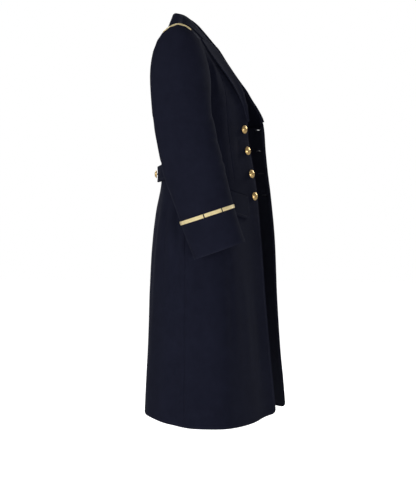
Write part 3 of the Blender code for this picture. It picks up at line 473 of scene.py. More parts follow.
# ---------------------------------------------------------------- creases
# Soft troughs in the panels: both ends, half width and depth. An end's first
# number is a share from the centre back or the front edge to the side seam, its second a body
# level. A negative depth is a ridge.
PANEL_CREASES = {
    ("right", "back"): (
        ((0.97, 1.30), (0.60, 0.86), 0.016, 0.0026),
        ((0.93, 1.05), (0.66, 0.80), 0.011, 0.0014),
        ((0.90, 0.93), (0.52, 0.83), 0.010, 0.0016),
        ((0.98, 0.86), (0.70, 0.79), 0.009, 0.0015),
        ((0.98, 0.80), (0.62, 0.765), 0.008, 0.0012),
        ((0.92, 0.765), (0.93, 0.42), 0.013, 0.0030),
        ((0.80, 0.755), (0.84, 0.30), 0.014, -0.0022),
        ((0.66, 0.745), (0.70, 0.36), 0.016, 0.0024),
        ((0.40, 0.735), (0.42, 0.25), 0.018, 0.0022),
        ((0.20, 0.740), (0.22, 0.42), 0.014, -0.0018),
        ((0.30, 1.62), (0.78, 1.80), 0.020, 0.0012),
        ((0.78, 1.72), (0.84, 1.15), 0.016, 0.0020),
        ((0.05, 1.82), (0.40, 1.84), 0.012, 0.0009),
    ),
    ("left", "back"): (
        ((0.97, 1.24), (0.66, 0.87), 0.015, 0.0024),
        ((0.94, 1.02), (0.60, 0.84), 0.012, 0.0016),
        ((0.95, 0.90), (0.58, 0.80), 0.010, 0.0015),
        ((0.98, 0.83), (0.66, 0.775), 0.009, 0.0013),
        ((0.90, 0.760), (0.90, 0.36), 0.014, 0.0028),
        ((0.74, 0.750), (0.80, 0.40), 0.015, -0.0020),
        ((0.56, 0.740), (0.58, 0.28), 0.017, 0.0025),
        ((0.30, 0.735), (0.33, 0.38), 0.016, 0.0018),
        ((0.34, 1.58), (0.80, 1.78), 0.018, 0.0010),
        ((0.80, 1.66), (0.82, 1.10), 0.015, 0.0021),
        ((0.04, 1.80), (0.36, 1.86), 0.012, 0.0008),
    ),
    ("right", "front"): (
        ((0.97, 1.22), (0.62, 0.90), 0.015, 0.0022),
        ((0.96, 0.98), (0.66, 0.84), 0.012, 0.0016),
        ((0.97, 0.84), (0.72, 0.775), 0.009, 0.0013),
        ((0.80, 1.62), (0.74, 1.08), 0.014, 0.0020),
        ((0.58, 1.42), (0.52, 1.04), 0.018, 0.0010),
        ((0.20, 0.92), (0.30, 0.80), 0.012, 0.0010),
        ((0.62, 0.60), (0.60, 0.16), 0.020, 0.0018),
        ((0.36, 0.52), (0.34, 0.10), 0.022, -0.0016),
        ((0.88, 0.56), (0.90, 0.12), 0.016, 0.0016),
        ((0.16, 0.44), (0.15, 0.06), 0.018, 0.0014),
    ),
    ("left", "front"): (
        ((0.97, 1.20), (0.60, 0.88), 0.015, 0.0024),
        ((0.95, 0.96), (0.70, 0.82), 0.011, 0.0014),
        ((0.97, 0.82), (0.74, 0.77), 0.009, 0.0012),
        ((0.78, 1.58), (0.76, 1.12), 0.015, 0.0019),
        ((0.56, 1.40), (0.50, 1.00), 0.018, 0.0011),
        ((0.24, 0.95), (0.36, 0.84), 0.012, 0.0011),
        ((0.66, 0.58), (0.66, 0.20), 0.019, 0.0020),
        ((0.44, 0.50), (0.42, 0.08), 0.022, -0.0017),
        ((0.20, 0.40), (0.22, 0.04), 0.018, 0.0015),
    ),
}
# The same on a sleeve, its ends in degrees round it from its outer side, backwards, and in
# places along it.
SLEEVE_CREASES = {
    "right": (
        ((-78, 0.62), (-18, 0.92), 0.011, 0.0014),
        ((-100, 1.02), (-40, 1.14), 0.012, 0.0018),
        ((-112, 1.28), (-30, 1.20), 0.010, 0.0020),
        ((-118, 1.40), (-48, 1.44), 0.010, 0.0024),
        ((-116, 1.50), (-20, 1.60), 0.011, 0.0016),
        ((60, 0.66), (22, 1.10), 0.014, 0.0014),
        ((100, 0.90), (46, 1.22), 0.013, 0.0018),
        ((104, 1.34), (52, 1.30), 0.010, 0.0015),
        ((96, 1.56), (40, 1.50), 0.012, 0.0012),
        ((8, 0.20), (4, 0.86), 0.018, 0.0008),
        ((-60, 1.62), (-20, 1.72), 0.010, 0.0010),
        ((150, 0.80), (200, 1.10), 0.014, 0.0022),
        ((215, 1.34), (160, 1.46), 0.012, 0.0020),
    ),
    "left": (
        ((-74, 0.66), (-22, 0.98), 0.012, 0.0015),
        ((-104, 1.06), (-44, 1.16), 0.012, 0.0017),
        ((-116, 1.30), (-36, 1.24), 0.010, 0.0021),
        ((-120, 1.44), (-40, 1.48), 0.010, 0.0022),
        ((-112, 1.54), (-30, 1.64), 0.011, 0.0014),
        ((64, 0.62), (26, 1.04), 0.014, 0.0015),
        ((98, 0.94), (50, 1.26), 0.013, 0.0017),
        ((102, 1.38), (56, 1.33), 0.010, 0.0014),
        ((14, 0.24), (8, 0.90), 0.018, 0.0008),
        ((150, 0.84), (204, 1.14), 0.014, 0.0021),
        ((210, 1.38), (158, 1.50), 0.012, 0.0019),
    ),
}


CREASE_BOW = 0.035             # how far a crease bows out of straight, as a share of its length
CREASE_BANKS = 0.55            # how much cloth the crease pushes up beside it
CREASE_FADES = (0.30, 0.38)    # shares of its length that its two ends fade over
RIPPLE_WAVES = (0.21, 0.13, 0.085, 0.055)
RIPPLE_HEIGHT = 0.00045        # per metre of wave length
PANEL_SEEDS = {("right", "back"): 11, ("right", "front"): 12, ("left", "back"): 13,
               ("left", "front"): 14}
SLEEVE_SEEDS = {"right": 5, "left": 6}
# How much of a panel's creases is calmed, and over which shares or levels: beside a front's edge
# or the centre back, under the collar, and beside the side seam and armhole.
EDGE_CALM_SHARES, CENTRE_CALM = (0.0, 0.05), 0.75
COLLAR_CALM, COLLAR_CALM_LEVELS, COLLAR_CALM_SHARES = 0.8, (1.72, 1.95), (0.2, 0.7)
SIDE_CALM, SIDE_CALM_SHARES = 0.85, (0.955, 1.0)


def crease_relief(x, y, creases, scale_x, scale_y):
    """Height in metres of all the creases, at places x and y measured in the creases' units."""
    relief = np.zeros(np.broadcast(x, y).shape)
    for (x0, y0), (x1, y1), width, depth in creases:
        dx, dy = (x1 - x0) * scale_x, (y1 - y0) * scale_y
        px, py = (x - x0) * scale_x, (y - y0) * scale_y
        length = np.hypot(dx, dy)
        along = np.clip((px * dx + py * dy) / length ** 2, 0, 1)
        bow = CREASE_BOW * length * np.sin(np.pi * along)
        side = (px * dy - py * dx) / length
        away = np.hypot(px - along * dx, py - along * dy)
        distance = np.where((along > 0) & (along < 1), np.abs(side - bow), away)
        reach = (distance / width) ** 2
        start, end = CREASE_FADES
        fade = smooth_step(along, 0.0, start) * smooth_step(1 - along, 0.0, end)
        relief -= depth * fade * (1 - CREASE_BANKS * reach) * np.exp(-reach)
    return relief


def ripple(x, y, seed):
    """Slight unevenness that all cloth has, a few tenths of a millimetre."""
    total = np.zeros(np.broadcast(x, y).shape)
    generator = np.random.default_rng(seed)
    for wave in RIPPLE_WAVES:
        for _ in range(3):
            angle, phase = generator.uniform(0, math.pi), generator.uniform(0, math.tau)
            turn = math.cos(angle) * x + math.sin(angle) * y
            total += wave * np.sin(math.tau * turn / wave + phase)
    return total * RIPPLE_HEIGHT


# ---------------------------------------------------------------- dressed surfaces
class Panel:
    """A back or front with its creases; it gives points on it, and distances across it."""

    LEVELS = np.linspace(0, 2, 121)
    SHARES = np.linspace(0, 1, 61)
    PARTS = np.linspace(0, 1, 161)         # of the way across, for finding a share again

    def __init__(self, side, part, seed):
        self.side, self.part, self.seed = side, part, seed
        points = body_point(side, part, self.SHARES[None, :], self.LEVELS[:, None])
        walked = grid_lengths(points)[0]
        self.widths = walked[:, -1]
        self.inverse = np.stack([np.interp(self.PARTS * row[-1], row, self.SHARES)
                                 for row in walked])

    def width(self, level):
        """Width of the panel in metres at a level."""
        return np.interp(level, self.LEVELS, self.widths)

    def share(self, distance, level):
        """Share of the panel at a distance in metres from its front edge or centre line."""
        distance, level = matched(distance, level)
        row = np.clip(level, 0, 2) / 2 * (len(self.LEVELS) - 1)
        low = np.minimum(row.astype(int), len(self.LEVELS) - 2)
        part = np.clip(distance / self.width(level), 0, 1) * (len(self.PARTS) - 1)
        left = np.minimum(part.astype(int), len(self.PARTS) - 2)
        f, g = row - low, part - left
        below = self.inverse[low, left] * (1 - g) + self.inverse[low, left + 1] * g
        above = self.inverse[low + 1, left] * (1 - g) + self.inverse[low + 1, left + 1] * g
        return below * (1 - f) + above * f

    def relief(self, u, level):
        """Height of the creases and ripples, calmed along the edges and seams."""
        u, level = matched(u, level)
        width = self.width(level)
        height = np.where(level < 1, LOWER_RISE * level, LOWER_RISE + ARM_RISE * (level - 1))
        per_level = np.where(level < 1, LOWER_RISE, ARM_RISE)
        relief = crease_relief(u, level, PANEL_CREASES[(self.side, self.part)], width, per_level)
        relief += ripple(u * width, height, self.seed)
        # Flat at a front's edge, flatter under its collar and at the centre back, and nearly flat
        # at the side seam and armhole.
        calm = smooth_step(u, *EDGE_CALM_SHARES)
        if self.part == "front":
            under_collar = (smooth_step(level, *COLLAR_CALM_LEVELS)
                            * smooth_fall(u, *COLLAR_CALM_SHARES))
            calm = calm * (1 - COLLAR_CALM * under_collar)
        else:
            calm = 1 - CENTRE_CALM * (1 - calm)
        return relief * calm * (1 - SIDE_CALM * smooth_step(u, *SIDE_CALM_SHARES))

    def point(self, u, level, height):
        """Point of the creased panel at a height over it."""
        normal = body_normal(self.side, self.part, u, level)
        lift = self.relief(u, level) + height
        return body_point(self.side, self.part, u, level) + normal * lift[..., None]

    def over(self, distance, level, height):
        """Point over the panel at a distance from its edge, or beyond it where negative."""
        distance, level, height = matched(distance, level, height)
        u = self.share(np.maximum(distance, 0), level)
        point = self.point(u, level, height)
        beyond = unit(body_point(self.side, self.part, 0.0, level)
                      - body_point(self.side, self.part, NORMAL_STEP, level))
        return point + beyond * np.maximum(-distance, 0)[..., None]


PANELS = {place: Panel(*place, seed) for place, seed in PANEL_SEEDS.items()}


def ring_point(side, angle, row):
    """Point of the arm's oval; angle 0 outside, a quarter turn at the back."""
    x, y, z, half_depth, half_thick, lean = np.moveaxis(np.asarray(row, float), -1, 0)
    lean = np.radians(lean)
    back = half_depth * np.sin(angle)
    return sided(stack(x - half_thick * np.cos(angle), y + back * np.cos(lean),
                       z - back * np.sin(lean)), side)


def sleeve_base(side, angle, place):
    """Outer point of a sleeve; place 0 to 1 is the head, 1 to 2 the arm."""
    angle, place = matched(angle, place)
    arm = ring_point(side, angle, spline(SLEEVE, np.clip(place - 1, 0, 1)))
    start = armhole_point(side, angle / math.tau)
    end = ring_point(side, angle, np.broadcast_to(np.array(SLEEVE[0], float), angle.shape + (6,)))
    top = 0.5 + 0.5 * np.cos(angle)
    reach = HEAD_REACH[1] + (HEAD_REACH[0] - HEAD_REACH[1]) * top
    drop = HEAD_DROP[1] + (HEAD_DROP[0] - HEAD_DROP[1]) * top
    swell, dip = HEAD_FULLNESS * np.sin(angle), HEAD_DIP * reach * (1 - top)
    leave = sided(stack(-reach, swell, -dip), side)
    arrive = sided(stack(-ARM_OUT * drop, -ARM_AHEAD * drop, -drop), side)
    head = hermite(start, end, leave, arrive, np.clip(place, 0, 1)[..., None])
    return np.where((place >= 1)[..., None], arm, head)


TURN_STEP, PLACE_STEP = 0.05, 0.02     # round and along a sleeve, for reading its slope
CREASE_START = -130            # degrees round a sleeve where the count of its creases starts
GIRTH = 0.42                   # a usual girth of a sleeve, and the lengths of its two parts
HEAD_LENGTH, ARM_LENGTH = 0.20, 0.40
EASE_HEIGHT, EASE_WAVES = 0.0007, 22
EASE_START, EASE_END = (0.01, 0.05), (0.07, 0.22)      # places where the head's fullness comes, goes
HEAD_CALM_PLACES = (0.0, 0.06)
CUFF_CALM, CUFF_CALM_PLACES = 0.8, (1.74, 1.84)


def sleeve_normal(side, angle, place):
    """Outward normal of a sleeve."""
    around = (sleeve_base(side, angle + TURN_STEP, place)
              - sleeve_base(side, angle - TURN_STEP, place))
    down = (sleeve_base(side, angle, np.minimum(np.asarray(place) + PLACE_STEP, 2))
            - sleeve_base(side, angle, np.maximum(np.asarray(place) - PLACE_STEP, 0)))
    return unit(np.cross(around, down)) * (1 if side == "right" else -1)


def sleeve_surface(side, angle, place, height):
    """Sleeve point with its creases, at a height over it."""
    angle, place = matched(angle, place)
    around = (np.degrees(angle) - CREASE_START) % 360 + CREASE_START
    relief = crease_relief(around, place, SLEEVE_CREASES[side], GIRTH / 360,
                           np.where(place < 1, HEAD_LENGTH, ARM_LENGTH))
    relief = relief + ripple(ARM_RADIUS * np.cos(angle) + ARM_LENGTH * place,
                             ARM_RADIUS * np.sin(angle), SLEEVE_SEEDS[side])
    # Fullness is eased in below the armhole, most of it at the top.
    ease = smooth_step(place, *EASE_START) * smooth_fall(place, *EASE_END)
    relief = relief + (EASE_HEIGHT * ease * np.sin(EASE_WAVES * angle)
                       * (0.5 + 0.5 * np.cos(angle)))
    # The sleeve is flat at the armhole, and nearly flat under the lace and over the turned hem.
    relief = relief * smooth_step(place, *HEAD_CALM_PLACES)
    relief = relief * (1 - CUFF_CALM * smooth_step(place, *CUFF_CALM_PLACES))
    normal = sleeve_normal(side, angle, place)
    return sleeve_base(side, angle, place) + normal * (relief + height)[..., None]


# ---------------------------------------------------------------- node groups and materials
def new_group(name, inputs, outputs):
    """Empty shader node group with the named sockets, and its input and output nodes."""
    group = bpy.data.node_groups.new(name, "ShaderNodeTree")
    for socket, kind, value in inputs:
        made = group.interface.new_socket(socket, in_out="INPUT", socket_type=kind)
        made.default_value = value
    for socket, kind in outputs:
        group.interface.new_socket(socket, in_out="OUTPUT", socket_type=kind)
    return group, group.nodes.new("NodeGroupInput"), group.nodes.new("NodeGroupOutput")


class Tree:
    """Short ways to add and join nodes of one tree."""

    def __init__(self, tree):
        self.tree = tree

    def join(self, source, target):
        """Joins an output to an input."""
        self.tree.links.new(source, target)

    def feed(self, socket, value):
        """Joins another node's socket to this one, or sets its value."""
        if isinstance(value, bpy.types.NodeSocket):
            self.join(value, socket)
        else:
            socket.default_value = value

    def node(self, kind, values=(), **settings):
        """New node with its settings, and its inputs' values by their names or numbers."""
        made = self.tree.nodes.new(kind)
        for name, value in settings.items():
            setattr(made, name, value)
        for name, value in dict(values).items():
            self.feed(made.inputs[name], value)
        return made

    def math(self, operation, a, b=0.0, clamp=False):
        """Result of one sum on numbers or outputs."""
        made = self.node("ShaderNodeMath", {0: a, 1: b}, operation=operation, use_clamp=clamp)
        return made.outputs[0]

    def mix(self, share, a, b):
        """Colour between a and b."""
        return self.node("ShaderNodeMix", {0: share, 6: a, 7: b}, data_type="RGBA").outputs[2]

    def weigh(self, parts):
        """Sum of values, each times its weight."""
        total = None
        for value, weight in parts:
            part = self.math("MULTIPLY", value, weight)
            total = part if total is None else self.math("ADD", total, part)
        return total

    def stretch(self, value, low, high):
        """0 at low and 1 at high."""
        return self.node("ShaderNodeMapRange", {"Value": value, "From Min": low,
                                                "From Max": high}).outputs[0]

    def noise(self, vector, scale, detail=2.0, roughness=0.5):
        """Cloudy pattern from 0 to 1, with its scale in patches to the metre."""
        return self.node("ShaderNodeTexNoise", {"Vector": vector, "Scale": scale, "Detail": detail,
                                                "Roughness": roughness}).outputs["Fac"]

    def place(self):
        """Object coordinates, in metres."""
        return self.node("ShaderNodeTexCoord").outputs["Object"]


def wool_nap_group():
    """Felted wool: mottled colour and a fine nap, sizes in metres."""
    group, enter, leave = new_group(
        "wool_nap",
        (("Deep", "NodeSocketColor", (0.01, 0.01, 0.02, 1)),
         ("Light", "NodeSocketColor", (0.02, 0.02, 0.04, 1)),
         ("Fleck", "NodeSocketColor", (0.05, 0.05, 0.08, 1)),
         ("Nap Size", "NodeSocketFloat", 0.0012),
         ("Rub", "NodeSocketFloat", 0.0)),
        (("Color", "NodeSocketColor"), ("Height", "NodeSocketFloat")))
    tree = Tree(group)
    place = tree.place()
    fine = tree.math("DIVIDE", 1.0, enter.outputs["Nap Size"])
    stretched = tree.node("ShaderNodeMapping", {"Vector": place, "Scale": (1.0, 1.0, 0.45)})
    nap = tree.noise(stretched.outputs[0], fine, detail=3.0, roughness=0.65)
    fibres = tree.noise(place, tree.math("MULTIPLY", fine, 3.1), detail=1.0)
    patch = tree.noise(place, 9.0, detail=3.0, roughness=0.55)
    cloud = tree.noise(place, 42.0)
    tone = tree.stretch(tree.weigh(((nap, 0.42), (patch, 0.34), (cloud, 0.24))), 0.36, 0.64)
    colour = tree.mix(tone, enter.outputs["Deep"], enter.outputs["Light"])
    fleck = tree.stretch(fibres, 0.66, 0.74)
    share = tree.math("ADD", tree.math("MULTIPLY", fleck, 0.5),
                      tree.math("MULTIPLY", enter.outputs["Rub"], 0.14), clamp=True)
    colour = tree.mix(share, colour, enter.outputs["Fleck"])
    height = tree.weigh(((nap, 0.7), (fibres, 0.3)))
    tree.join(colour, leave.inputs["Color"])
    tree.join(height, leave.inputs["Height"])
    return group


def weave_group():
    """Two crossing sets of threads in a piece's own UV map, which is in metres."""
    group, enter, leave = new_group(
        "woven_threads",
        (("Across", "NodeSocketFloat", 0.0005), ("Along", "NodeSocketFloat", 0.0005),
         ("Slant", "NodeSocketFloat", 0.0)),
        (("Height", "NodeSocketFloat"), ("Over", "NodeSocketFloat")))
    tree = Tree(group)
    uv = tree.node("ShaderNodeSeparateXYZ", {"Vector": tree.node("ShaderNodeUVMap").outputs[0]})
    x = tree.math("DIVIDE", uv.outputs[0], enter.outputs["Across"])
    y = tree.math("DIVIDE", uv.outputs[1], enter.outputs["Along"])
    x = tree.math("ADD", x, tree.math("MULTIPLY", y, enter.outputs["Slant"]))
    across = tree.math("SINE", tree.math("MULTIPLY", x, math.pi))
    along = tree.math("SINE", tree.math("MULTIPLY", y, math.pi))
    parity = tree.math("SINE", tree.math("MULTIPLY", tree.math("ADD", x, y), math.pi))
    over = tree.math("GREATER_THAN", parity, 0.0)
    height = tree.math("ADD", tree.math("ABSOLUTE", tree.math("MULTIPLY", across, along)),
                       tree.math("MULTIPLY", over, 0.35))
    tree.join(height, leave.inputs["Height"])
    tree.join(over, leave.inputs["Over"])
    return group


def tarnish_group():
    """Uneven darker film and fine scratches on metal."""
    group, enter, leave = new_group(
        "metal_film",
        (("Patch Size", "NodeSocketFloat", 0.006),),
        (("Film", "NodeSocketFloat"), ("Scratch", "NodeSocketFloat")))
    tree = Tree(group)
    place = tree.place()
    patches = tree.math("DIVIDE", 1.0, enter.outputs["Patch Size"])
    film = tree.noise(place, patches, detail=4.0, roughness=0.6)
    stretched = tree.node("ShaderNodeMapping", {"Vector": place, "Scale": (1.0, 9.0, 1.0),
                                                "Rotation": (0.3, 0.5, 0.7)})
    scratch = tree.noise(stretched.outputs[0], 1400.0, roughness=0.7)
    tree.join(film, leave.inputs["Film"])
    tree.join(scratch, leave.inputs["Scratch"])
    return group


WOOL_NAP, WEAVE, FILM = wool_nap_group(), weave_group(), tarnish_group()


def material(name, roughness, metallic=0.0, **constants):
    """Principled material with its constants set on the shader; gives it, its tree and shader."""
    made = bpy.data.materials.new(name)
    made.use_nodes = True
    shader = made.node_tree.nodes["Principled BSDF"]
    shader.inputs["Roughness"].default_value = roughness
    shader.inputs["Metallic"].default_value = metallic
    for socket, value in constants.items():
        shader.inputs[socket.replace("_", " ")].default_value = value
    return made, Tree(made.node_tree), shader


def add_bump(tree, shader, height, distance, strength):
    """Relief of a given depth in metres, from a height between 0 and 1."""
    bump = tree.node("ShaderNodeBump", {"Height": height, "Distance": distance,
                                        "Strength": strength})
    tree.join(bump.outputs[0], shader.inputs["Normal"])


def wool_material(name, deep, light, fleck, nap):
    """Milled wool cloth, paler where its nap is rubbed."""
    made, tree, shader = material(name, roughness=0.88, Sheen_Weight=0.03, Sheen_Roughness=0.42,
                                  Sheen_Tint=(0.62, 0.68, 1.0, 1), Specular_IOR_Level=0.06)
    rub = tree.node("ShaderNodeAttribute", attribute_name="rub")
    wool = tree.node("ShaderNodeGroup", {}, node_tree=WOOL_NAP)
    for socket, value in (("Deep", deep), ("Light", light), ("Fleck", fleck)):
        wool.inputs[socket].default_value = (*value, 1)
    wool.inputs["Nap Size"].default_value = nap
    tree.join(rub.outputs["Fac"], wool.inputs["Rub"])
    tree.join(wool.outputs["Color"], shader.inputs["Base Color"])
    add_bump(tree, shader, wool.outputs["Height"], distance=0.0005, strength=0.55)
    return made


def lining_material():
    """Dark satin, a little mottled."""
    made, tree, shader = material("satin_lining", roughness=0.36, Specular_IOR_Level=0.5,
                                  Sheen_Weight=0.05)
    weave = tree.node("ShaderNodeGroup", {"Across": 0.0004, "Along": 0.0009, "Slant": 0.5},
                      node_tree=WEAVE)
    patch = tree.noise(tree.place(), 24.0)
    colour = tree.mix(patch, (0.0045, 0.005, 0.0085, 1), (0.009, 0.010, 0.016, 1))
    tree.join(colour, shader.inputs["Base Color"])
    add_bump(tree, shader, weave.outputs["Height"], distance=0.0001, strength=0.5)
    return made


def lace_material():
    """Flat gold lace: metal threads over a yellow core, in slanting ribs."""
    made, tree, shader = material("gold_lace", roughness=0.42, metallic=0.3,
                                  Specular_IOR_Level=0.6)
    weave = tree.node("ShaderNodeGroup", {"Across": 0.0009, "Along": 0.0012, "Slant": 0.9},
                      node_tree=WEAVE)
    dull = tree.noise(tree.place(), 260.0, detail=3.0)
    bright = tree.mix(weave.outputs["Over"], (0.84, 0.67, 0.32, 1), (0.94, 0.82, 0.50, 1))
    colour = tree.mix(tree.math("MULTIPLY", dull, 0.25), bright, (0.55, 0.38, 0.14, 1))
    tree.join(colour, shader.inputs["Base Color"])
    rough = tree.math("ADD", tree.math("MULTIPLY", dull, 0.2), 0.30)
    tree.join(rough, shader.inputs["Roughness"])
    add_bump(tree, shader, weave.outputs["Height"], distance=0.0003, strength=0.8)
    return made


def gilt_material():
    """Gilt metal, darker and duller in patches."""
    made, tree, shader = material("gilt_button", roughness=0.3, metallic=0.72)
    film = tree.node("ShaderNodeGroup", {"Patch Size": 0.006}, node_tree=FILM)
    share = tree.stretch(film.outputs["Film"], 0.45, 0.8)
    colour = tree.mix(share, (1.0, 0.70, 0.30, 1), (0.78, 0.46, 0.16, 1))
    tree.join(colour, shader.inputs["Base Color"])
    rough = tree.math("ADD", tree.math("MULTIPLY", film.outputs["Scratch"], 0.16), 0.24)
    tree.join(rough, shader.inputs["Roughness"])
    add_bump(tree, shader, film.outputs["Scratch"], distance=0.00002, strength=0.4)
    return made


def thread_material():
    """Twisted sewing thread."""
    made, tree, shader = material("navy_thread", roughness=0.55, Sheen_Weight=0.1)
    twist = tree.node("ShaderNodeTexWave", {"Vector": tree.place(), "Scale": 900.0,
                                            "Distortion": 1.0})
    shade = tree.mix(twist.outputs["Fac"], (0.0096, 0.0108, 0.0204, 1), (0.016, 0.018, 0.034, 1))
    tree.join(shade, shader.inputs["Base Color"])
    add_bump(tree, shader, twist.outputs["Fac"], distance=0.0001, strength=0.5)
    return made


NAVY_WOOL = wool_material("navy_melton", deep=(0.0061, 0.0069, 0.0148),
                          light=(0.0093, 0.0105, 0.0216), fleck=(0.031, 0.033, 0.052),
                          nap=0.0011)
# The facing is the same navy cloth painted paler: painted light standing in for light on the shaded
# inside of the far front.
FACING_WOOL_PAINTED_LIGHT = wool_material("navy_facing_painted_light", deep=(0.0100, 0.0108, 0.0190),
                            light=(0.0150, 0.0162, 0.0280), fleck=(0.036, 0.038, 0.058),
                            nap=0.0010)
LINING = lining_material()
GOLD_LACE = lace_material()
GILT = gilt_material()
NAVY_THREAD = thread_material()


# ---------------------------------------------------------------- meshes
def grid_faces(rows, columns, closed=False):
    """Quads of a grid of points numbered row by row."""
    r, c = np.meshgrid(np.arange(rows - 1), np.arange(columns if closed else columns - 1),
                       indexing="ij")
    after = (c + 1) % columns
    return np.stack([r * columns + c, r * columns + after, (r + 1) * columns + after,
                     (r + 1) * columns + c], axis=-1).reshape(-1, 4)


def rim_faces(first, second, closed=False):
    """Quads between two equal rows of point numbers."""
    first, second = np.asarray(first), np.asarray(second)
    if closed:
        first, second = np.append(first, first[0]), np.append(second, second[0])
    return np.stack([first[:-1], first[1:], second[1:], second[:-1]], axis=-1)


def new_object(name, data):
    """Object of a mesh, curve, lamp or camera, in the scene."""
    made = bpy.data.objects.new(name, data)
    bpy.context.scene.collection.objects.link(made)
    return made


def mesh_object(name, points, faces, materials, face_materials=None, uvs=None, rub=None):
    """Smooth-shaded object; uvs and rub, the wear of its nap, are given for each point."""
    mesh = bpy.data.meshes.new(name)
    mesh.from_pydata(np.asarray(points, float).tolist(), [], [list(map(int, f)) for f in faces])
    for entry in materials:
        mesh.materials.append(entry)
    if face_materials is not None:
        mesh.polygons.foreach_set("material_index", np.asarray(face_materials, np.int32))
    if uvs is not None:
        layer = mesh.uv_layers.new(name="cloth")
        loops = np.empty(len(mesh.loops), np.int32)
        mesh.loops.foreach_get("vertex_index", loops)
        layer.uv.foreach_set("vector", np.asarray(uvs, np.float32)[loops].ravel())
    if rub is not None:
        attribute = mesh.attributes.new("rub", "FLOAT", "POINT")
        attribute.data.foreach_set("value", np.asarray(rub, np.float32))
    mesh.shade_smooth()
    return new_object(name, mesh)


def point_out(made):
    """Turns the faces so that the closed shell has a positive volume."""
    work = bmesh.new()
    work.from_mesh(made.data)
    if work.calc_volume(signed=True) < 0:
        bmesh.ops.reverse_faces(work, faces=work.faces)
    work.to_mesh(made.data)
    work.free()


def settle(made):
    """Applies an object's modifiers to its mesh."""
    graph = bpy.context.evaluated_depsgraph_get()
    result = bpy.data.meshes.new_from_object(made.evaluated_get(graph))
    made.modifiers.clear()
    old, made.data = made.data, result
    name = old.name
    bpy.data.meshes.remove(old)
    result.name = name


def round_edges(made, width):
    """Rounds the sharp edges of a shell."""
    bevel = made.modifiers.new("rounding", "BEVEL")
    bevel.width, bevel.segments = width, 3
    bevel.limit_method, bevel.angle_limit = "ANGLE", math.radians(50)
    bevel.harden_normals = False
    settle(made)


def shell(name, outer, inner, materials, inner_choice=None, rub=None, rounding=PIECE_EDGE):
    """Closed wall between two grids, UVs in metres; inner_choice picks inner faces' material."""
    rows, columns = outer.shape[:2]
    count = rows * columns
    points = np.concatenate([outer.reshape(-1, 3), inner.reshape(-1, 3)])
    out_faces = grid_faces(rows, columns)
    in_faces = grid_faces(rows, columns)[:, ::-1] + count
    number = np.arange(count).reshape(rows, columns)
    rims = [rim_faces(number[0] + count, number[0]), rim_faces(number[-1], number[-1] + count),
            rim_faces(number[:, 0], number[:, 0] + count),
            rim_faces(number[:, -1] + count, number[:, -1])]
    faces = np.concatenate([out_faces, in_faces, *rims])
    choice = np.zeros(len(faces), int)
    if inner_choice is not None:
        choice[len(out_faces):len(out_faces) + len(in_faces)] = inner_choice.ravel()
    uvs = np.stack(grid_lengths(outer), axis=-1).reshape(-1, 2)
    uvs = np.concatenate([uvs, uvs])
    wear = None if rub is None else np.concatenate([rub.ravel(), rub.ravel()])
    made = mesh_object(name, points, faces, materials, choice, uvs, wear)
    point_out(made)
    round_edges(made, rounding)
    return made


def grid_normals(grid):
    """Unit normal at each point of a grid, rows by columns."""
    return unit(np.cross(np.gradient(grid, axis=1), np.gradient(grid, axis=0)))


def edge_rub(grid, edges):
    """Wear of the nap along some edges of a grid: 1 at an edge, and 0 further in than RUBBED."""
    across, up = grid_lengths(grid)
    distances = {"first_row": up, "last_row": up[-1:] - up, "first_column": across,
                 "last_column": across[:, -1:] - across}
    nearest = np.minimum.reduce([distances[edge] for edge in edges])
    return smooth_fall(nearest, 0.0, RUBBED)


def join_into(made, other):
    """Joins another object's mesh into an object."""
    both = [made, other]
    with bpy.context.temp_override(active_object=made, object=made, selected_objects=both,
                                   selected_editable_objects=both):
        bpy.ops.object.join()


def dress(made, nodes):
    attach(made, "root")
    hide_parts(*nodes)


# ---------------------------------------------------------------- stitching
STITCH_INPUTS = (("Pitch", "NodeSocketFloat"), ("Length", "NodeSocketFloat"),
                 ("Radius", "NodeSocketFloat"), ("Across", "NodeSocketFloat"),
                 ("Face", "NodeSocketVector"), ("Thread", "NodeSocketMaterial"))


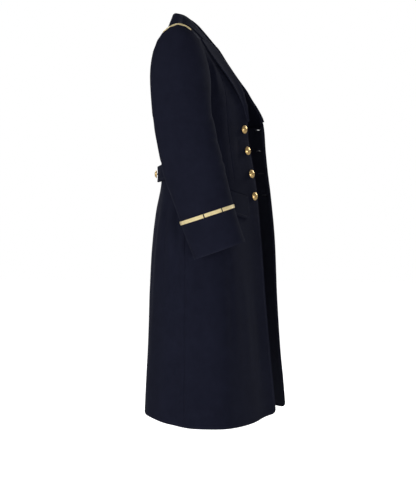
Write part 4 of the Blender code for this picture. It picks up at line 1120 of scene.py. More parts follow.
def stitch_tree():
    """Geometry nodes that lay short thread stitches along, or across, a curve."""
    group = bpy.data.node_groups.new("thread_stitches", "GeometryNodeTree")
    group.interface.new_socket("Line", in_out="INPUT", socket_type="NodeSocketGeometry")
    for name, kind in STITCH_INPUTS:
        group.interface.new_socket(name, in_out="INPUT", socket_type=kind)
    group.interface.new_socket("Stitches", in_out="OUTPUT", socket_type="NodeSocketGeometry")
    tree = Tree(group)
    enter, leave = tree.node("NodeGroupInput").outputs, tree.node("NodeGroupOutput")
    spots = tree.node("GeometryNodeCurveToPoints", {"Curve": enter["Line"],
                                                    "Length": enter["Pitch"]}, mode="LENGTH")
    tangent = spots.outputs["Tangent"]
    sideways = tree.node("ShaderNodeVectorMath", {0: tangent, 1: enter["Face"]},
                         operation="CROSS_PRODUCT").outputs[0]
    heading = tree.node("ShaderNodeMix", {0: enter["Across"], 4: tangent, 5: sideways},
                        data_type="VECTOR")
    turn = tree.node("FunctionNodeAlignRotationToVector", {"Vector": heading.outputs[1]}, axis="Z")
    bead = tree.node("GeometryNodeMeshUVSphere", {"Segments": 6, "Rings": 4, "Radius": 1.0})
    half = tree.math("MULTIPLY", enter["Length"], 0.5)
    size = tree.node("ShaderNodeCombineXYZ", {"X": enter["Radius"], "Y": enter["Radius"],
                                              "Z": half})
    thread = tree.node("GeometryNodeTransform", {"Geometry": bead.outputs["Mesh"],
                                                 "Scale": size.outputs[0]})
    laid = tree.node("GeometryNodeInstanceOnPoints", {
        "Points": spots.outputs["Points"], "Instance": thread.outputs[0],
        "Rotation": turn.outputs[0]})
    real = tree.node("GeometryNodeRealizeInstances", {"Geometry": laid.outputs[0]})
    smooth = tree.node("GeometryNodeSetShadeSmooth", {"Geometry": real.outputs[0]})
    finish = tree.node("GeometryNodeSetMaterial", {"Geometry": smooth.outputs[0],
                                                   "Material": enter["Thread"]})
    tree.join(finish.outputs[0], leave.inputs["Stitches"])
    return group


STITCHES = stitch_tree()


def stitch_lines(name, lines, pitch=0.0034, length=0.0026, radius=0.00026, across=0.0,
                 face=(0, 0, 1), closed=False):
    """Stitches along lines of points, as one piece."""
    curve = bpy.data.curves.new(name, "CURVE")
    curve.dimensions = "3D"
    for line in lines:
        run = curve.splines.new("POLY")
        run.points.add(len(line) - 1)
        flat = np.concatenate([line, np.ones((len(line), 1))], axis=1)
        run.points.foreach_set("co", flat.astype(np.float32).ravel())
        run.use_cyclic_u = closed
    guide = new_object(name, curve)
    modifier = guide.modifiers.new("stitches", "NODES")
    modifier.node_group = STITCHES
    values = {"Pitch": pitch, "Length": length, "Radius": radius, "Across": across,
              "Face": face, "Thread": NAVY_THREAD}
    for socket in STITCHES.interface.items_tree:
        if socket.name in values:
            modifier[socket.identifier] = values[socket.name]
    graph = bpy.context.evaluated_depsgraph_get()
    mesh = bpy.data.meshes.new_from_object(guide.evaluated_get(graph))
    bpy.data.objects.remove(guide)
    bpy.data.curves.remove(curve)
    mesh.name = name
    stitched = new_object(name, mesh)
    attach(stitched, "root")


def rows_inset(grid, inset, first, last, end=True):
    """Points of a grid's rows at a distance in from their last column, or from their first."""
    across = grid_lengths(grid)[0]
    line = []
    for row, walked in zip(grid[first:last], across[first:last]):
        place = walked[-1] - inset if end else inset
        line.append([np.interp(place, walked, row[:, axis]) for axis in range(3)])
    return np.array(line)


def columns_inset(grid, inset, first, last, end=True):
    """The same for a grid's columns, in from their last row or from their first."""
    return rows_inset(np.swapaxes(grid, 0, 1), inset, first, last, end)


# ---------------------------------------------------------------- backs and fronts
HOLE_CENTRE = 0.026            # of a buttonhole, from the left front's edge
HOLE_LENGTH = 0.022
HOLE_OPENINGS = (0.0024, 0.0011, 0.0005, 0.0004)   # how far each gapes, from the top down
HOLE_POINTS = 40               # round a buttonhole
HOLE_CUT = (0.012, -0.016)     # heights over the front that its cutter reaches to
EDGE_STITCH_LEVELS = (0.010, 0.945)


def hole_points(number, height, grow=0.0):
    """Points round a buttonhole, grown by a margin, at a height over the left front."""
    panel = PANELS[("left", "front")]
    t = np.linspace(0, math.tau, HOLE_POINTS, endpoint=False)
    half, gape = HOLE_LENGTH / 2 + grow, HOLE_OPENINGS[number] / 2 + grow
    distance = HOLE_CENTRE + half * np.cos(t)
    level = level_of(BUTTON_LEVELS[number] + gape * np.sin(t))
    return panel.point(panel.share(distance, level), level, height)


def cut_holes(made):
    """Cuts the buttonholes through a piece of the left front."""
    count = HOLE_POINTS
    sides = rim_faces(np.arange(count), np.arange(count) + count, closed=True)
    faces = [*sides.tolist(), list(range(count))[::-1], list(range(count, 2 * count))]
    for number in range(len(HOLE_OPENINGS)):
        rings = [hole_points(number, height) for height in HOLE_CUT]
        cutter = mesh_object("hole", np.concatenate(rings), faces, [NAVY_THREAD])
        point_out(cutter)
        cut = made.modifiers.new("hole", "BOOLEAN")
        cut.operation, cut.object, cut.solver = "DIFFERENCE", cutter, "EXACT"
        settle(made)
        bpy.data.objects.remove(cutter)


def buttonhole_stitches():
    """Close thread over both edges of each buttonhole, outside and on the facing."""
    depth = CLOTH + LAY_GAP + FACING
    for number in range(len(HOLE_OPENINGS)):
        face = hole_points(number, 0.01).mean(axis=0) - hole_points(number, 0.0).mean(axis=0)
        lines = [hole_points(number, 0.0002, 0.0008), hole_points(number, -depth, 0.0008)]
        stitch_lines("buttonhole_thread_%d" % (number + 1), lines, pitch=0.0008, length=0.0022,
                     radius=0.00042, across=1.0, face=tuple(unit(face)), closed=True)


def edge_stitches(side):
    """Stitching down a front's edge, from the break of the lapel to the hem."""
    panel = PANELS[(side, "front")]
    level = np.linspace(*EDGE_STITCH_LEVELS, 260)
    u = panel.share(TOPSTITCH, level)
    stitch_lines("edge_stitching_" + side, [panel.point(u, level, edge_curl(panel, u, level))])


# Distances in metres of the closer columns and rows: in from a panel's side edges, either side of
# the dart, and up from a front's hem.
EDGE_STEPS = np.array((0.0, 0.0015, 0.003, 0.005, 0.0075))
DART_STEPS = np.array((-0.0040, -0.0022, -0.0011, 0.0, 0.0011, 0.0022, 0.0040))
HEM_STEPS = np.array((0.0, 0.0012, 0.0025, 0.004, 0.006, 0.0085, 0.0115))
FIRST_COLUMN, FIRST_ROW = 0.010, 0.014      # where the even columns and rows start
DART_CLEAR = 0.005                          # how far off the dart they stay
POCKET_STEP = 0.0012                        # between the rows over the pocket mouth
POCKET_MARGINS = (0.004, 0.006, 0.002)      # below it, above it, and to the even rows


def panel_shares(part):
    """Shares of a panel's columns, closer at its side edges and beside the dart."""
    near_edge = EDGE_STEPS / PANEL_WIDTH
    first = FIRST_COLUMN / PANEL_WIDTH
    even = np.linspace(first, 1 - first, FRONT_COLUMNS if part == "front" else BACK_COLUMNS)
    shares = np.concatenate([near_edge, even, 1 - near_edge[::-1]])
    if part == "front":
        clear = shares[np.abs(shares - DART_U) > DART_CLEAR / PANEL_WIDTH]
        shares = np.sort(np.concatenate([clear, DART_U + DART_STEPS / PANEL_WIDTH]))
    return shares


def panel_levels(part):
    """Levels of a panel's rows, closer at a front's hem and over its pocket mouth."""
    levels = np.concatenate([np.linspace(0, 1, ROWS_BELOW + 1)[:-1],
                             np.linspace(1, 2, ROWS_ABOVE + 1)])
    if part == "front":
        below, above, margin = POCKET_MARGINS
        pocket = level_of(np.arange(FLAP_TOP_Z[0] - below, FLAP_TOP_Z[1] + above, POCKET_STEP))
        off_hem = levels > FIRST_ROW / LOWER_RISE
        off_pocket = np.abs(levels - pocket.mean()) > np.ptp(pocket) / 2 + margin
        levels = np.sort(np.concatenate([HEM_STEPS / LOWER_RISE, levels[off_hem & off_pocket],
                                         pocket]))
    return levels


def round_corner(s, h, radius):
    """Distances from a corner's two edges, its square grid bent to a round corner."""
    inside = (s < radius) & (h < radius)
    a, b = 1 - s / radius, 1 - h / radius
    bent_s = (1 - a * np.sqrt(np.clip(1 - b * b / 2, 0, 1))) * radius
    bent_h = (1 - b * np.sqrt(np.clip(1 - a * a / 2, 0, 1))) * radius
    return np.where(inside, bent_s, s), np.where(inside, bent_h, h)


def panel_places(panel):
    """Shares and levels of a panel's rows and columns, with a front's lower corner rounded."""
    u, level = np.meshgrid(panel_shares(panel.part), panel_levels(panel.part))
    if panel.part == "front":
        width = panel.width(level)
        s, h = round_corner(u * width, level * LOWER_RISE, CORNER_RADIUS)
        u, level = s / width, h / LOWER_RISE
    return u, level


# Depth and half width of the long dart's stitched line and of the hollow about it, of a seam's
# groove, and of the pocket mouth's groove, whose middle is a little above the flap.
DART_LINE, DART_HOLLOW = (0.0010, 0.0011), (0.0009, 0.014)
DART_FOOT, DART_HEAD = (0.735, 0.80), (1.30, 1.50)      # levels that its two ends fade over
SEAM_GROOVE = (0.0014, 0.0022)
SEAM_RIDGE = (0.0005, 0.005, 0.010)         # height, half width, distance from the seam
POCKET_GROOVE = (0.0020, 0.0016, 0.0018)
POCKET_FRONT, POCKET_BACK = (-0.03, 0.01), (1.00, 1.04)     # in lengths of the flap
CURL_DEPTH, CURL_WIDTH = 0.0042, 0.026      # of the right front's rolled edge
CURL_FOOT, CURL_HEAD = (0.52, 0.70), (0.89, 0.95)       # levels that its two ends fade over


def dart_groove(panel, u, level):
    """Groove of the front's long dart, from the chest to the pocket."""
    across = (u - DART_U) * panel.width(level)
    run = smooth_step(level, *DART_FOOT) * smooth_fall(level, *DART_HEAD)
    return -sum(depth * bell(across, width) for depth, width in (DART_LINE, DART_HOLLOW)) * run


def seam_relief(distance):
    """Groove at a pressed seam, with the faint ridge of its allowance beside it."""
    depth, width = SEAM_GROOVE
    height, ridge_width, place = SEAM_RIDGE
    return height * bell(distance - place, ridge_width) - depth * bell(distance, width)


def pocket_groove(panel, u, level):
    """Groove of the pocket mouth, just over the flap."""
    depth, width, middle = POCKET_GROOVE
    along = (u * panel.width(level) - FLAP_EDGE_DISTANCE) / FLAP_SIZE[0]
    above = HEM_Z + level * LOWER_RISE - flap_top_z(along)
    ends = smooth_step(along, *POCKET_FRONT) * smooth_fall(along, *POCKET_BACK)
    return -depth * bell(above - middle, width) * ends


def edge_curl(panel, u, level):
    """Inward roll of the buttoned front's edge, from the lapel's break to the hip."""
    if panel.side != "right":
        return 0.0
    near = np.clip(1 - u * panel.width(level) / CURL_WIDTH, 0, 1)
    run = smooth_step(level, *CURL_FOOT) * smooth_fall(level, *CURL_HEAD)
    return -CURL_DEPTH * near ** 2 * run


def panel_shell(side, part):
    """Back or front, in one piece of cloth with its lining and facings inside."""
    panel = PANELS[(side, part)]
    u, level = panel_places(panel)
    from_edge, from_hem = u * panel.width(level), level * LOWER_RISE
    height = seam_relief((1 - u) * panel.width(level))
    rub = smooth_fall(from_hem, 0.0, RUBBED_HEM)
    wool_inside = from_hem < TURNED_HEM
    if part == "back":
        height = height + seam_relief(from_edge)
    else:
        height = height + (dart_groove(panel, u, level) + pocket_groove(panel, u, level)
                           + edge_curl(panel, u, level))
        rub = np.maximum(rub, smooth_fall(from_edge, 0.0, RUBBED_HEM))
        wool_inside = wool_inside | (from_edge < FACING_WIDTH)
    outer = panel.point(u, level, height)
    inner = outer - body_normal(side, part, u, level) * CLOTH
    choice = np.where(wool_inside[:-1, :-1], 0, 1)
    made = shell("wool_%s_%s" % (part, side), outer, inner, [NAVY_WOOL, LINING], choice, rub=rub)
    if (side, part) == ("left", "front"):
        cut_holes(made)
    dress(made, ["%s_%s" % (part, side)])


# ---------------------------------------------------------------- sleeves
HIND_SEAM, FORE_SEAM = math.radians(105), math.radians(225)
SEAM_TRIM = 0.0002             # between a sleeve's piece and the middle of its seam
SEAM_UNIT = 0.0016             # spacing of the closer columns beside a seam
SEAM_STEPS = np.array((0.8, 1.6, 2.6, 4.0))
ARMHOLE_PLACES = (0.0, 0.006, 0.014)        # of the closer rows, at the armhole and at the cuff
CUFF_PLACES = (1.989, 1.993, 1.997, 2.0)
EVEN_PLACES = (0.025, 1.985)                # where the even rows start and end


def sleeve_places():
    """Places of a sleeve's rows, closer at the armhole and at the cuff."""
    head = np.linspace(EVEN_PLACES[0], 1, HEAD_ROWS)[:-1]
    arm = np.linspace(1, EVEN_PLACES[1], ARM_ROWS)
    return np.concatenate([ARMHOLE_PLACES, head, arm, CUFF_PLACES])


def sleeve_part(side, part, first, last):
    """Upper or under sleeve between two seams, in one piece of cloth."""
    girth = ARM_RADIUS * (last - first)
    steps = SEAM_UNIT / girth * SEAM_STEPS
    share = np.unique(np.concatenate([np.linspace(0, 1, SLEEVE_COLUMNS[part]), steps, 1 - steps]))
    trim = SEAM_TRIM / girth
    angle, place = np.meshgrid(first + (last - first) * (trim + (1 - 2 * trim) * share),
                               sleeve_places())
    from_seam = np.minimum(share, 1 - share) * girth
    outer = sleeve_surface(side, angle, place, seam_relief(from_seam))
    inner = outer - sleeve_normal(side, angle, place) * CLOTH
    rub = smooth_fall(2 - place, 0.0, RUBBED_CUFF)
    choice = np.where(place[:-1, :-1] > TURNED_CUFF, 0, 1)
    node = part + "_sleeve_" + side
    made = shell("wool_" + node, outer, inner, [NAVY_WOOL, LINING], choice, rub=rub)
    dress(made, [node])


# ---------------------------------------------------------------- lapels, collar and flaps
LAPEL_GRID = (64, 34)          # rows and columns
COLLAR_ROWS, COLLAR_COLUMNS = 73, 40   # of each half
FLAP_GRID = (24, 50)
FACING_GRID = (120, 18)
FACING_INSET = 0.002           # from the front edge to the facing
FACING_LEVELS = (0.012, 0.935)     # its ends, as body levels
FACING_EDGE = 0.0006           # rounding of its edges
BELT_GRID = (16, 90)
SEAM_EASING = ((1, 0.7), (2, 0.4), (3, 0.15))   # columns in from a seam, share of its normal kept
FLAP_BULGE, FLAP_FLARE = 0.0012, 0.0010    # how a flap swells in its middle and at its lower edge
FLAP_CALM = 0.6                # share of the front's creases that a flap follows
BELT_WAVE = 0.0010


def through_columns(rows, count):
    """Each row's points as a smooth curve with more points."""
    finer = spline(np.swapaxes(rows, 0, 1), np.linspace(0, 1, count), spread=1)
    return np.swapaxes(finer, 0, 1)


def layer(name, middle, nodes, seam_normals=None):
    """Wool layer of even thickness about a grid of middle points; gives its outer points."""
    normals = grid_normals(middle)
    if seam_normals is not None:
        flip = np.sign((seam_normals * normals[:, 0]).sum(axis=-1, keepdims=True))
        normals[:, 0] = seam_normals * flip
        for k, share in SEAM_EASING:
            normals[:, k] = unit(normals[:, k] * (1 - share) + normals[:, 0] * share)
    outer, inner = middle + normals * (CLOTH / 2), middle - normals * (CLOTH / 2)
    rub = edge_rub(middle, ("first_row", "last_row", "last_column"))
    made = shell(name, outer, inner, [NAVY_WOOL], rub=rub)
    dress(made, nodes)
    return outer


def lapel_middle(side, rows, columns):
    """Middle points of a lapel, folded at the roll line and lying on its front."""
    up = np.linspace(0, 1, rows)[:, None]
    level = LAPEL[0][0] + (LAPEL[-1][0] - LAPEL[0][0]) * up
    width = read_table(LAPEL, level)[..., 0]
    fold = smooth_step(width, *LAPEL_FOLD_WIDTHS)
    across, share, height = np.array(LAPEL_FOLD).T
    step = np.arange(len(LAPEL_FOLD)) / (len(LAPEL_FOLD) - 1)
    flat = (width + LAPEL_TUCK) * step - LAPEL_TUCK
    distance = flat + (across + share * width - flat) * fold
    lift = LAYER_MID + (height - LAYER_MID) * fold
    profile = through_columns(np.stack([distance, lift], axis=-1), columns)
    distance, lift = profile[..., 0], profile[..., 1]
    # Its outer edge springs a little off the chest, most below the middle.
    reach = np.clip(distance / width, 0, 1)
    lift = lift + LAPEL_SPRING * reach ** 2 * np.sin(np.pi * up ** 0.8) ** 2
    rise = GORGE_RISE * np.maximum(distance, 0) * up ** 3
    return PANELS[(side, "front")].over(distance, level + rise, lift)


def neck_seam(side, k):
    """Points, outward normals and directions past the edge, on the neck seam at stations k."""
    found = []
    for part, places, first in (("back", NECK_PLACES_BACK, 0), ("front", NECK_PLACES_FRONT, 2)):
        mine = k[k <= 2] if part == "back" else k[k > 2]
        u, level = spline(places, (mine - first) / (len(places) - 1)).T
        point = body_point(side, part, u, level)
        inside = (u, level - EDGE_STEP) if part == "back" else (EDGE_STEP, level)
        beyond = unit(point - body_point(side, part, *inside))
        found.append(np.stack([point, body_normal(side, part, u, level), beyond]))
    return np.concatenate(found, axis=1)


def collar_edge(side, k):
    """Outer edge of the collar at stations k, lying on the back and front."""
    back, front = k[k <= 2], k[k > 2]
    u, level = spline(EDGE_PLACES_BACK, back / 2).T
    first = PANELS[(side, "back")].point(u, level, COLLAR_EDGE_MID)
    u, level = spline(EDGE_PLACES_FRONT, (front - 2) / 4).T
    second = PANELS[(side, "front")].point(u, level, COLLAR_EDGE_MID)
    return np.concatenate([first, second])


def collar_half(side, k, columns):
    """Middle points of half of the collar, a row at each station from neck seam to outer edge."""
    seam, normal, beyond = neck_seam(side, k)
    base = seam + beyond * LAY_GAP - normal * CLOTH / 2
    fold = sided(spline(COLLAR_FOLD, k / (len(COLLAR_FOLD) - 1)), side)
    edge = collar_edge(side, k)
    away = unit((edge - fold) * (1, 1, 0))
    up = np.array((0.0, 0.0, 1.0))
    fall = edge - fold
    along = unit(fall)
    bulge = unit(up - along * along[:, 2:])
    rows = [base]
    rows += [base * (1 - share) + fold * share - away * lean for share, lean in STAND_SECTION]
    rows += [fold + away * out - up * down for out, down in FOLD_SECTION]
    rows += [fold + fall * share + bulge * height for share, height in FALL_SECTION]
    rows = np.stack(rows + [edge], axis=1)
    # At its front end the fall is sewn to the lapel along the gorge, up to the notch.
    sewn = smooth_step(k, *GORGE_STATIONS)[:, None]
    length = np.linalg.norm(fall, axis=1)
    for index, (across, share, height) in enumerate(LAPEL_FOLD[1:-1], 2):
        distance = across + share * length
        gorge = NECK_PLACES_FRONT[-1][1] + GORGE_RISE * np.maximum(distance, 0)
        spot = PANELS[(side, "front")].over(distance, gorge, height)
        rows[:, index] = rows[:, index] * (1 - sewn) + spot * sewn
    return through_columns(rows, columns), normal


def collar_shell():
    """Collar over both shoulders, with its stitching."""
    stations = np.linspace(0, len(COLLAR_FOLD) - 1, COLLAR_ROWS)
    right, right_normals = collar_half("right", stations, COLLAR_COLUMNS)
    left, left_normals = collar_half("left", stations, COLLAR_COLUMNS)
    right[0][:, 0] = 0
    middle = np.concatenate([right[::-1], left[1:]])
    seams = np.concatenate([right_normals[::-1], left_normals[1:]])
    outer = layer("wool_collar", middle, ["collar"], seams)
    stitch_lines("collar_stitching", [rows_inset(outer, TOPSTITCH, 3, -3)])


def lapel_shell(side):
    """Turned-back lapel, with its stitching down the edge and along the top."""
    outer = layer("wool_lapel_" + side, lapel_middle(side, *LAPEL_GRID), ["lapel_" + side])
    edge = rows_inset(outer, TOPSTITCH, 6, -4)
    top = columns_inset(outer, TOPSTITCH, 16, -4)[::-1]
    stitch_lines("lapel_stitching_" + side, [np.concatenate([edge, top])])


def flap_top_z(along):
    """Height of a pocket flap's upper edge, at a share of the way back along it."""
    return FLAP_TOP_Z[0] + (FLAP_TOP_Z[1] - FLAP_TOP_Z[0]) * along


def flap_grid(side, height):
    """Points over the front in the shape of the pocket flap, corners rounded below."""
    panel = PANELS[(side, "front")]
    length, depth = FLAP_SIZE
    rows, columns = FLAP_GRID
    s, h = np.meshgrid(np.linspace(0, length, columns), np.linspace(0, depth, rows))
    s, from_foot = round_corner(s, depth - h, FLAP_RADIUS)
    from_back, from_foot = round_corner(length - s, from_foot, FLAP_RADIUS)
    s, h = length - from_back, depth - from_foot
    level = level_of(flap_top_z(s / length) - h)
    middle_level = level_of((FLAP_TOP_Z[0] + FLAP_TOP_Z[1] - depth) / 2)
    u = panel.share(FLAP_EDGE_DISTANCE + s, middle_level)
    down = np.clip(h / depth, 0, 1)
    hang = FLAP_BULGE * np.sin(0.9 * np.pi * down) + FLAP_FLARE * down ** 2
    lift = height + hang + FLAP_CALM * panel.relief(u, level)
    normal = body_normal(side, "front", u, level)
    return body_point(side, "front", u, level) + normal * lift[..., None]


def flap_shell(side):
    """Pocket flap lined with satin, with its stitching along three edges."""
    outer, inner = flap_grid(side, LAY_GAP + FLAP), flap_grid(side, LAY_GAP)
    rub = edge_rub(outer, ("first_column", "last_column", "last_row"))
    lined = np.ones(outer[1:, 1:, 0].shape, int)
    made = shell("wool_pocket_flap_" + side, outer, inner, [NAVY_WOOL, LINING], lined, rub=rub)
    dress(made, ["pocket_flap_" + side])
    stitch_lines("flap_stitching_" + side, [rows_inset(outer, TOPSTITCH, 0, -6, end=False),
                                            columns_inset(outer, TOPSTITCH, 5, -5),
                                            rows_inset(outer, TOPSTITCH, 0, -6)[::-1]])


def facing_shell():
    """Cloth facing inside the left front's edge, with its buttonholes; its wool is painted paler
    than the outer cloth, as painted light on the shaded inside.
    """
    panel = PANELS[("left", "front")]
    rows, columns = FACING_GRID
    s, level = np.meshgrid(np.linspace(FACING_INSET, FACING_WIDTH, columns),
                           np.linspace(*FACING_LEVELS, rows))
    u = panel.share(s, level)
    depth = CLOTH + LAY_GAP
    outer, inner = panel.point(u, level, -depth), panel.point(u, level, -depth - FACING)
    made = shell("wool_facing_left", outer, inner, [FACING_WOOL_PAINTED_LIGHT], rounding=FACING_EDGE)
    cut_holes(made)
    dress(made, ["facing_left"])


def belt_z(along):
    """Middle height of the half belt, at a share of the way from the centre back to its end."""
    return BELT_Z[0] + (BELT_Z[1] - BELT_Z[0]) * along ** 2


def belt_stand_off(along):
    """How far its inner side hangs off the back there."""
    return LAY_GAP + BELT_STAND_OFF * (1 - along ** 2)


def belt_grid(height):
    """Points of the half belt at a height over its inner side."""
    rows, columns = BELT_GRID
    along, across = np.meshgrid(np.linspace(-1, 1, columns), np.linspace(-1, 1, rows))
    level = level_of(belt_z(along) + across * BELT_WIDTH / 2)
    wave = BELT_WAVE * np.sin(5.1 * along + 0.7 * across) * (1 - along ** 2)
    stand_off = belt_stand_off(along) + wave
    distance = np.abs(along) * BELT_HALF_LENGTH
    points = np.empty(along.shape + (3,))
    for side, mine in (("right", along < 0), ("left", along >= 0)):
        panel = PANELS[(side, "back")]
        u = panel.share(distance[mine], level[mine])
        normal = body_normal(side, "back", u, level[mine])
        points[mine] = (body_point(side, "back", u, level[mine])
                        + normal * (stand_off[mine] + height)[..., None])
    return points


def belt_shell():
    """Half belt, with its stitching all round."""
    outer, inner = belt_grid(BELT), belt_grid(0.0)
    rub = edge_rub(outer, ("first_row", "last_row"))
    made = shell("wool_half_belt", outer, inner, [NAVY_WOOL], rub=rub)
    dress(made, ["half_belt"])
    rims = [columns_inset(outer, TOPSTITCH, 3, -3, end) for end in (True, False)]
    ends = [rows_inset(outer, TOPSTITCH, 2, -2, end) for end in (True, False)]
    stitch_lines("belt_stitching", rims + ends)


# ---------------------------------------------------------------- gold lace
LACE_STEP = math.radians(1.6)  # round the sleeve, between the columns of a band
LACE_ROWS = 13
LACE_CROWN = 0.0003            # how much a band is domed, and how proud its corded edges are
LACE_CORD = (0.86, 0.08)       # place of a corded edge across half a band, and its half width
LACE_EDGE = 0.0004             # rounding of its edges


def lace_band(name, side, degrees, places, node):
    """Band of lace on a sleeve, a little domed, with a corded edge."""
    low, high = np.radians(degrees)
    count = max(8, int((high - low) / LACE_STEP))
    angle, share = np.meshgrid(np.linspace(low, high, count), np.linspace(-1, 1, LACE_ROWS))
    place = (places[0] + places[1]) / 2 + share * (places[1] - places[0]) / 2
    cord_place, cord_width = LACE_CORD
    crown = LACE_CROWN * (1 - share ** 2 + bell(np.abs(share) - cord_place, cord_width))
    outer = sleeve_surface(side, angle, place, LAY_GAP + BRAID - LACE_CROWN + crown)
    inner = sleeve_surface(side, angle, place, LAY_GAP)
    made = shell(name, outer, inner, [GOLD_LACE], rounding=LACE_EDGE)
    dress(made, [node])


def lace_bands(side):
    """Lace round the cuff in two stretches, and over the sleeve's head."""
    places = (CUFF_BRAID_PLACE - CUFF_BRAID_HALF, CUFF_BRAID_PLACE + CUFF_BRAID_HALF)
    half_gap = CUFF_BRAID_GAP_WIDTH / 2
    back_gap, front_gap = CUFF_BRAID_GAPS
    lace_band("lace_cuff_outer_" + side, side, (front_gap + half_gap, back_gap - half_gap),
              places, "cuff_braid_outer_" + side)
    lace_band("lace_cuff_round_" + side, side, (back_gap + half_gap, 360 + front_gap - half_gap),
              places, "cuff_braid_round_" + side)
    lace_band("lace_shoulder_" + side, side, SHOULDER_BRAID_SPAN, SHOULDER_BRAID_PLACES,
              "shoulder_braid_" + side)


# ---------------------------------------------------------------- buttons
BUTTON_PROFILE = (       # radius, height over the cloth
    (0.0000, 0.0018), (0.0040, 0.0018), (0.0094, 0.0020), (0.0106, 0.0023), (0.0112, 0.0030),
    (0.0111, 0.0037), (0.0105, 0.0041), (0.0098, 0.0039), (0.0094, 0.0042), (0.0088, 0.0052),
    (0.0076, 0.0062), (0.0060, 0.0070), (0.0040, 0.0076), (0.0020, 0.0079), (0.0000, 0.0080),
)
BUTTON_SIDES = 80
ROPE_TURNS = 40                # twists of the roped rim
ROPE_HEIGHT = 0.00022
ROPE_RADIUS, ROPE_WIDTH = 0.0109, 0.0006
SHANK_SIDES, SHANK_ROWS = 20, 13
SHANK_HEIGHTS = (-0.0004, 0.0020)      # from a little way into the cloth to the button
SHANK_RADIUS = 0.0016
SHANK_WINDING = 0.00018        # how far every other round of its thread stands out
SHANK_FOOT = (0.0006, 0.0005)  # how far its foot spreads, and how high


def turned_grid(radii, heights, sides, turn, centre):
    """Points round an axis, a ring at each height; radii may differ round each ring."""
    angle = np.linspace(0, math.tau, sides, endpoint=False)
    rings = stack(radii * np.cos(angle), radii * np.sin(angle), heights)
    return rings @ turn.T + np.asarray(centre)


def button_mesh(name, centre, normal, node):
    """Domed button with a roped rim, turned about its axis, on a thread shank."""
    turn = np.array(Vector(normal).to_track_quat("Z", "Y").to_matrix())
    radius, height = np.array(BUTTON_PROFILE).T[..., None]
    angle = np.linspace(0, math.tau, BUTTON_SIDES, endpoint=False)
    rope = ROPE_HEIGHT * np.sin(ROPE_TURNS * angle) * bell(radius - ROPE_RADIUS, ROPE_WIDTH)
    grid = turned_grid(radius + rope, height + rope, BUTTON_SIDES, turn, centre)
    quads = grid_faces(len(BUTTON_PROFILE), BUTTON_SIDES, closed=True)
    made = mesh_object(name, grid.reshape(-1, 3), quads, [GILT, NAVY_THREAD])
    work = bmesh.new()
    work.from_mesh(made.data)
    bmesh.ops.remove_doubles(work, verts=work.verts, dist=1e-6)
    bmesh.ops.recalc_face_normals(work, faces=work.faces)
    work.to_mesh(made.data)
    work.free()
    join_into(made, shank_mesh(name + "_shank", centre, turn))
    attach(made, "root")
    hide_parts(node)


def shank_mesh(name, centre, turn):
    """Wound thread between the cloth and the button."""
    height = np.linspace(*SHANK_HEIGHTS, SHANK_ROWS)[:, None]
    spread, rise = SHANK_FOOT
    radius = (SHANK_RADIUS + SHANK_WINDING * (np.arange(SHANK_ROWS)[:, None] % 2)
              + spread * bell(height - SHANK_HEIGHTS[0], rise))
    grid = turned_grid(radius, height, SHANK_SIDES, turn, centre)
    count = SHANK_ROWS * SHANK_SIDES
    faces = grid_faces(SHANK_ROWS, SHANK_SIDES, closed=True).tolist()
    faces += [list(range(SHANK_SIDES))[::-1], list(range(count - SHANK_SIDES, count))]
    made = mesh_object(name, grid.reshape(-1, 3), faces, [NAVY_THREAD])
    point_out(made)
    return made


def buttons():
    """Four buttons down the right front, and two on the half belt."""
    front = PANELS[("right", "front")]
    for number, z in enumerate(BUTTON_LEVELS, 1):
        level = level_of(z)
        u = front.share(BUTTON_EDGE_DISTANCE, level)
        normal = body_normal("right", "front", u, level)
        spot = front.point(u, level, LAY_GAP)
        button_mesh("gilt_button_front_%d" % number, spot, normal, "button_front_%d" % number)
    along = BELT_BUTTON_DISTANCE / BELT_HALF_LENGTH
    level = level_of(belt_z(along))
    for side in ("right", "left"):
        u = PANELS[(side, "back")].share(BELT_BUTTON_DISTANCE, level)
        normal = body_normal(side, "back", u, level)
        height = belt_stand_off(along) + BELT + LAY_GAP
        spot = body_point(side, "back", u, level) + normal * height
        button_mesh("gilt_button_belt_" + side, spot, normal, "button_belt_" + side)


# ---------------------------------------------------------------- stage
LIGHTS = (      # name, place, size, power in watts
    ("key", (-3.7, 1.15, -0.6), 1.0, 60),
    ("fill", (-3.4, -1.9, -0.9), 1.0, 50),
    ("back", (-1.2, 3.5, 0.6), 1.8, 34),
    ("neck", (-1.9, 1.5, 2.3), 0.7, 13),
    ("far_side", (3.4, 1.0, 1.0), 2.0, 66),
    ("front", (2.9, -2.8, 1.2), 1.6, 60),
)
LIGHT_TARGET = (0, -0.05, -0.5)
ROOM_LIGHT = 0.10              # of the pale room, which itself shows as white
FLOOR_Z = HEM_Z - 0.38         # the coat hangs well clear of it
FLOOR_REACH = 9.0
FLOOR_GREY = 0.55              # of the light that the floor throws back; it shows as white too


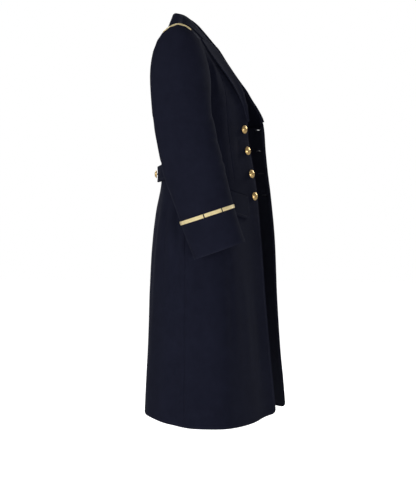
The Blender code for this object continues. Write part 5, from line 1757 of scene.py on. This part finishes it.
def stage():
    """White room and floor as the camera sees them, and the lamps."""
    world = bpy.data.worlds.new("studio")
    bpy.context.scene.world = world
    world.use_nodes = True
    tree = Tree(world.node_tree)
    background = world.node_tree.nodes["Background"]
    background.inputs["Color"].default_value = (1, 1, 1, 1)
    seen = tree.node("ShaderNodeLightPath").outputs["Is Camera Ray"]
    bright = tree.math("ADD", tree.math("MULTIPLY", seen, 1 - ROOM_LIGHT), ROOM_LIGHT)
    tree.join(bright, background.inputs["Strength"])
    pale, tree, shader = material("pale_floor", roughness=0.9)
    shader.inputs["Base Color"].default_value = (FLOOR_GREY, FLOOR_GREY, FLOOR_GREY, 1)
    shader.inputs["Emission Color"].default_value = (1, 1, 1, 1)
    tree.join(tree.node("ShaderNodeLightPath").outputs["Is Camera Ray"],
              shader.inputs["Emission Strength"])
    corners = [(x * FLOOR_REACH, y * FLOOR_REACH, FLOOR_Z)
               for x, y in ((-1, -1), (1, -1), (1, 1), (-1, 1))]
    mesh_object("floor", corners, [(0, 1, 2, 3)], [pale])
    for name, place, size, power in LIGHTS:
        lamp = bpy.data.lights.new(name, "AREA")
        lamp.shape, lamp.size, lamp.energy = "DISK", size, power
        aim(new_object(name, lamp), place, LIGHT_TARGET)


def aim(made, place, target):
    """Puts a lamp or the camera at a place, turned to a target."""
    made.location = place
    made.rotation_euler = (Vector(target) - Vector(place)).to_track_quat("-Z", "Y").to_euler()


def camera():
    """Camera of the photograph."""
    lens = bpy.data.cameras.new("photo")
    lens.sensor_fit, lens.sensor_height, lens.sensor_width = "VERTICAL", SENSOR, SENSOR
    lens.lens = CAMERA_LENS
    made = new_object("photo", lens)
    aim(made, CAMERA_PLACE, CAMERA_TARGET)
    bpy.context.scene.camera = made


# ---------------------------------------------------------------- the coat
camera()
stage()
bpy.context.scene.view_settings.view_transform = "Standard"
for coat_side in ("right", "left"):
    panel_shell(coat_side, "back")
    panel_shell(coat_side, "front")
    edge_stitches(coat_side)
    sleeve_part(coat_side, "upper", FORE_SEAM - math.tau, HIND_SEAM)
    sleeve_part(coat_side, "under", HIND_SEAM, FORE_SEAM)
    lapel_shell(coat_side)
    flap_shell(coat_side)
    lace_bands(coat_side)
collar_shell()
facing_shell()
buttonhole_stitches()
belt_shell()
buttons()
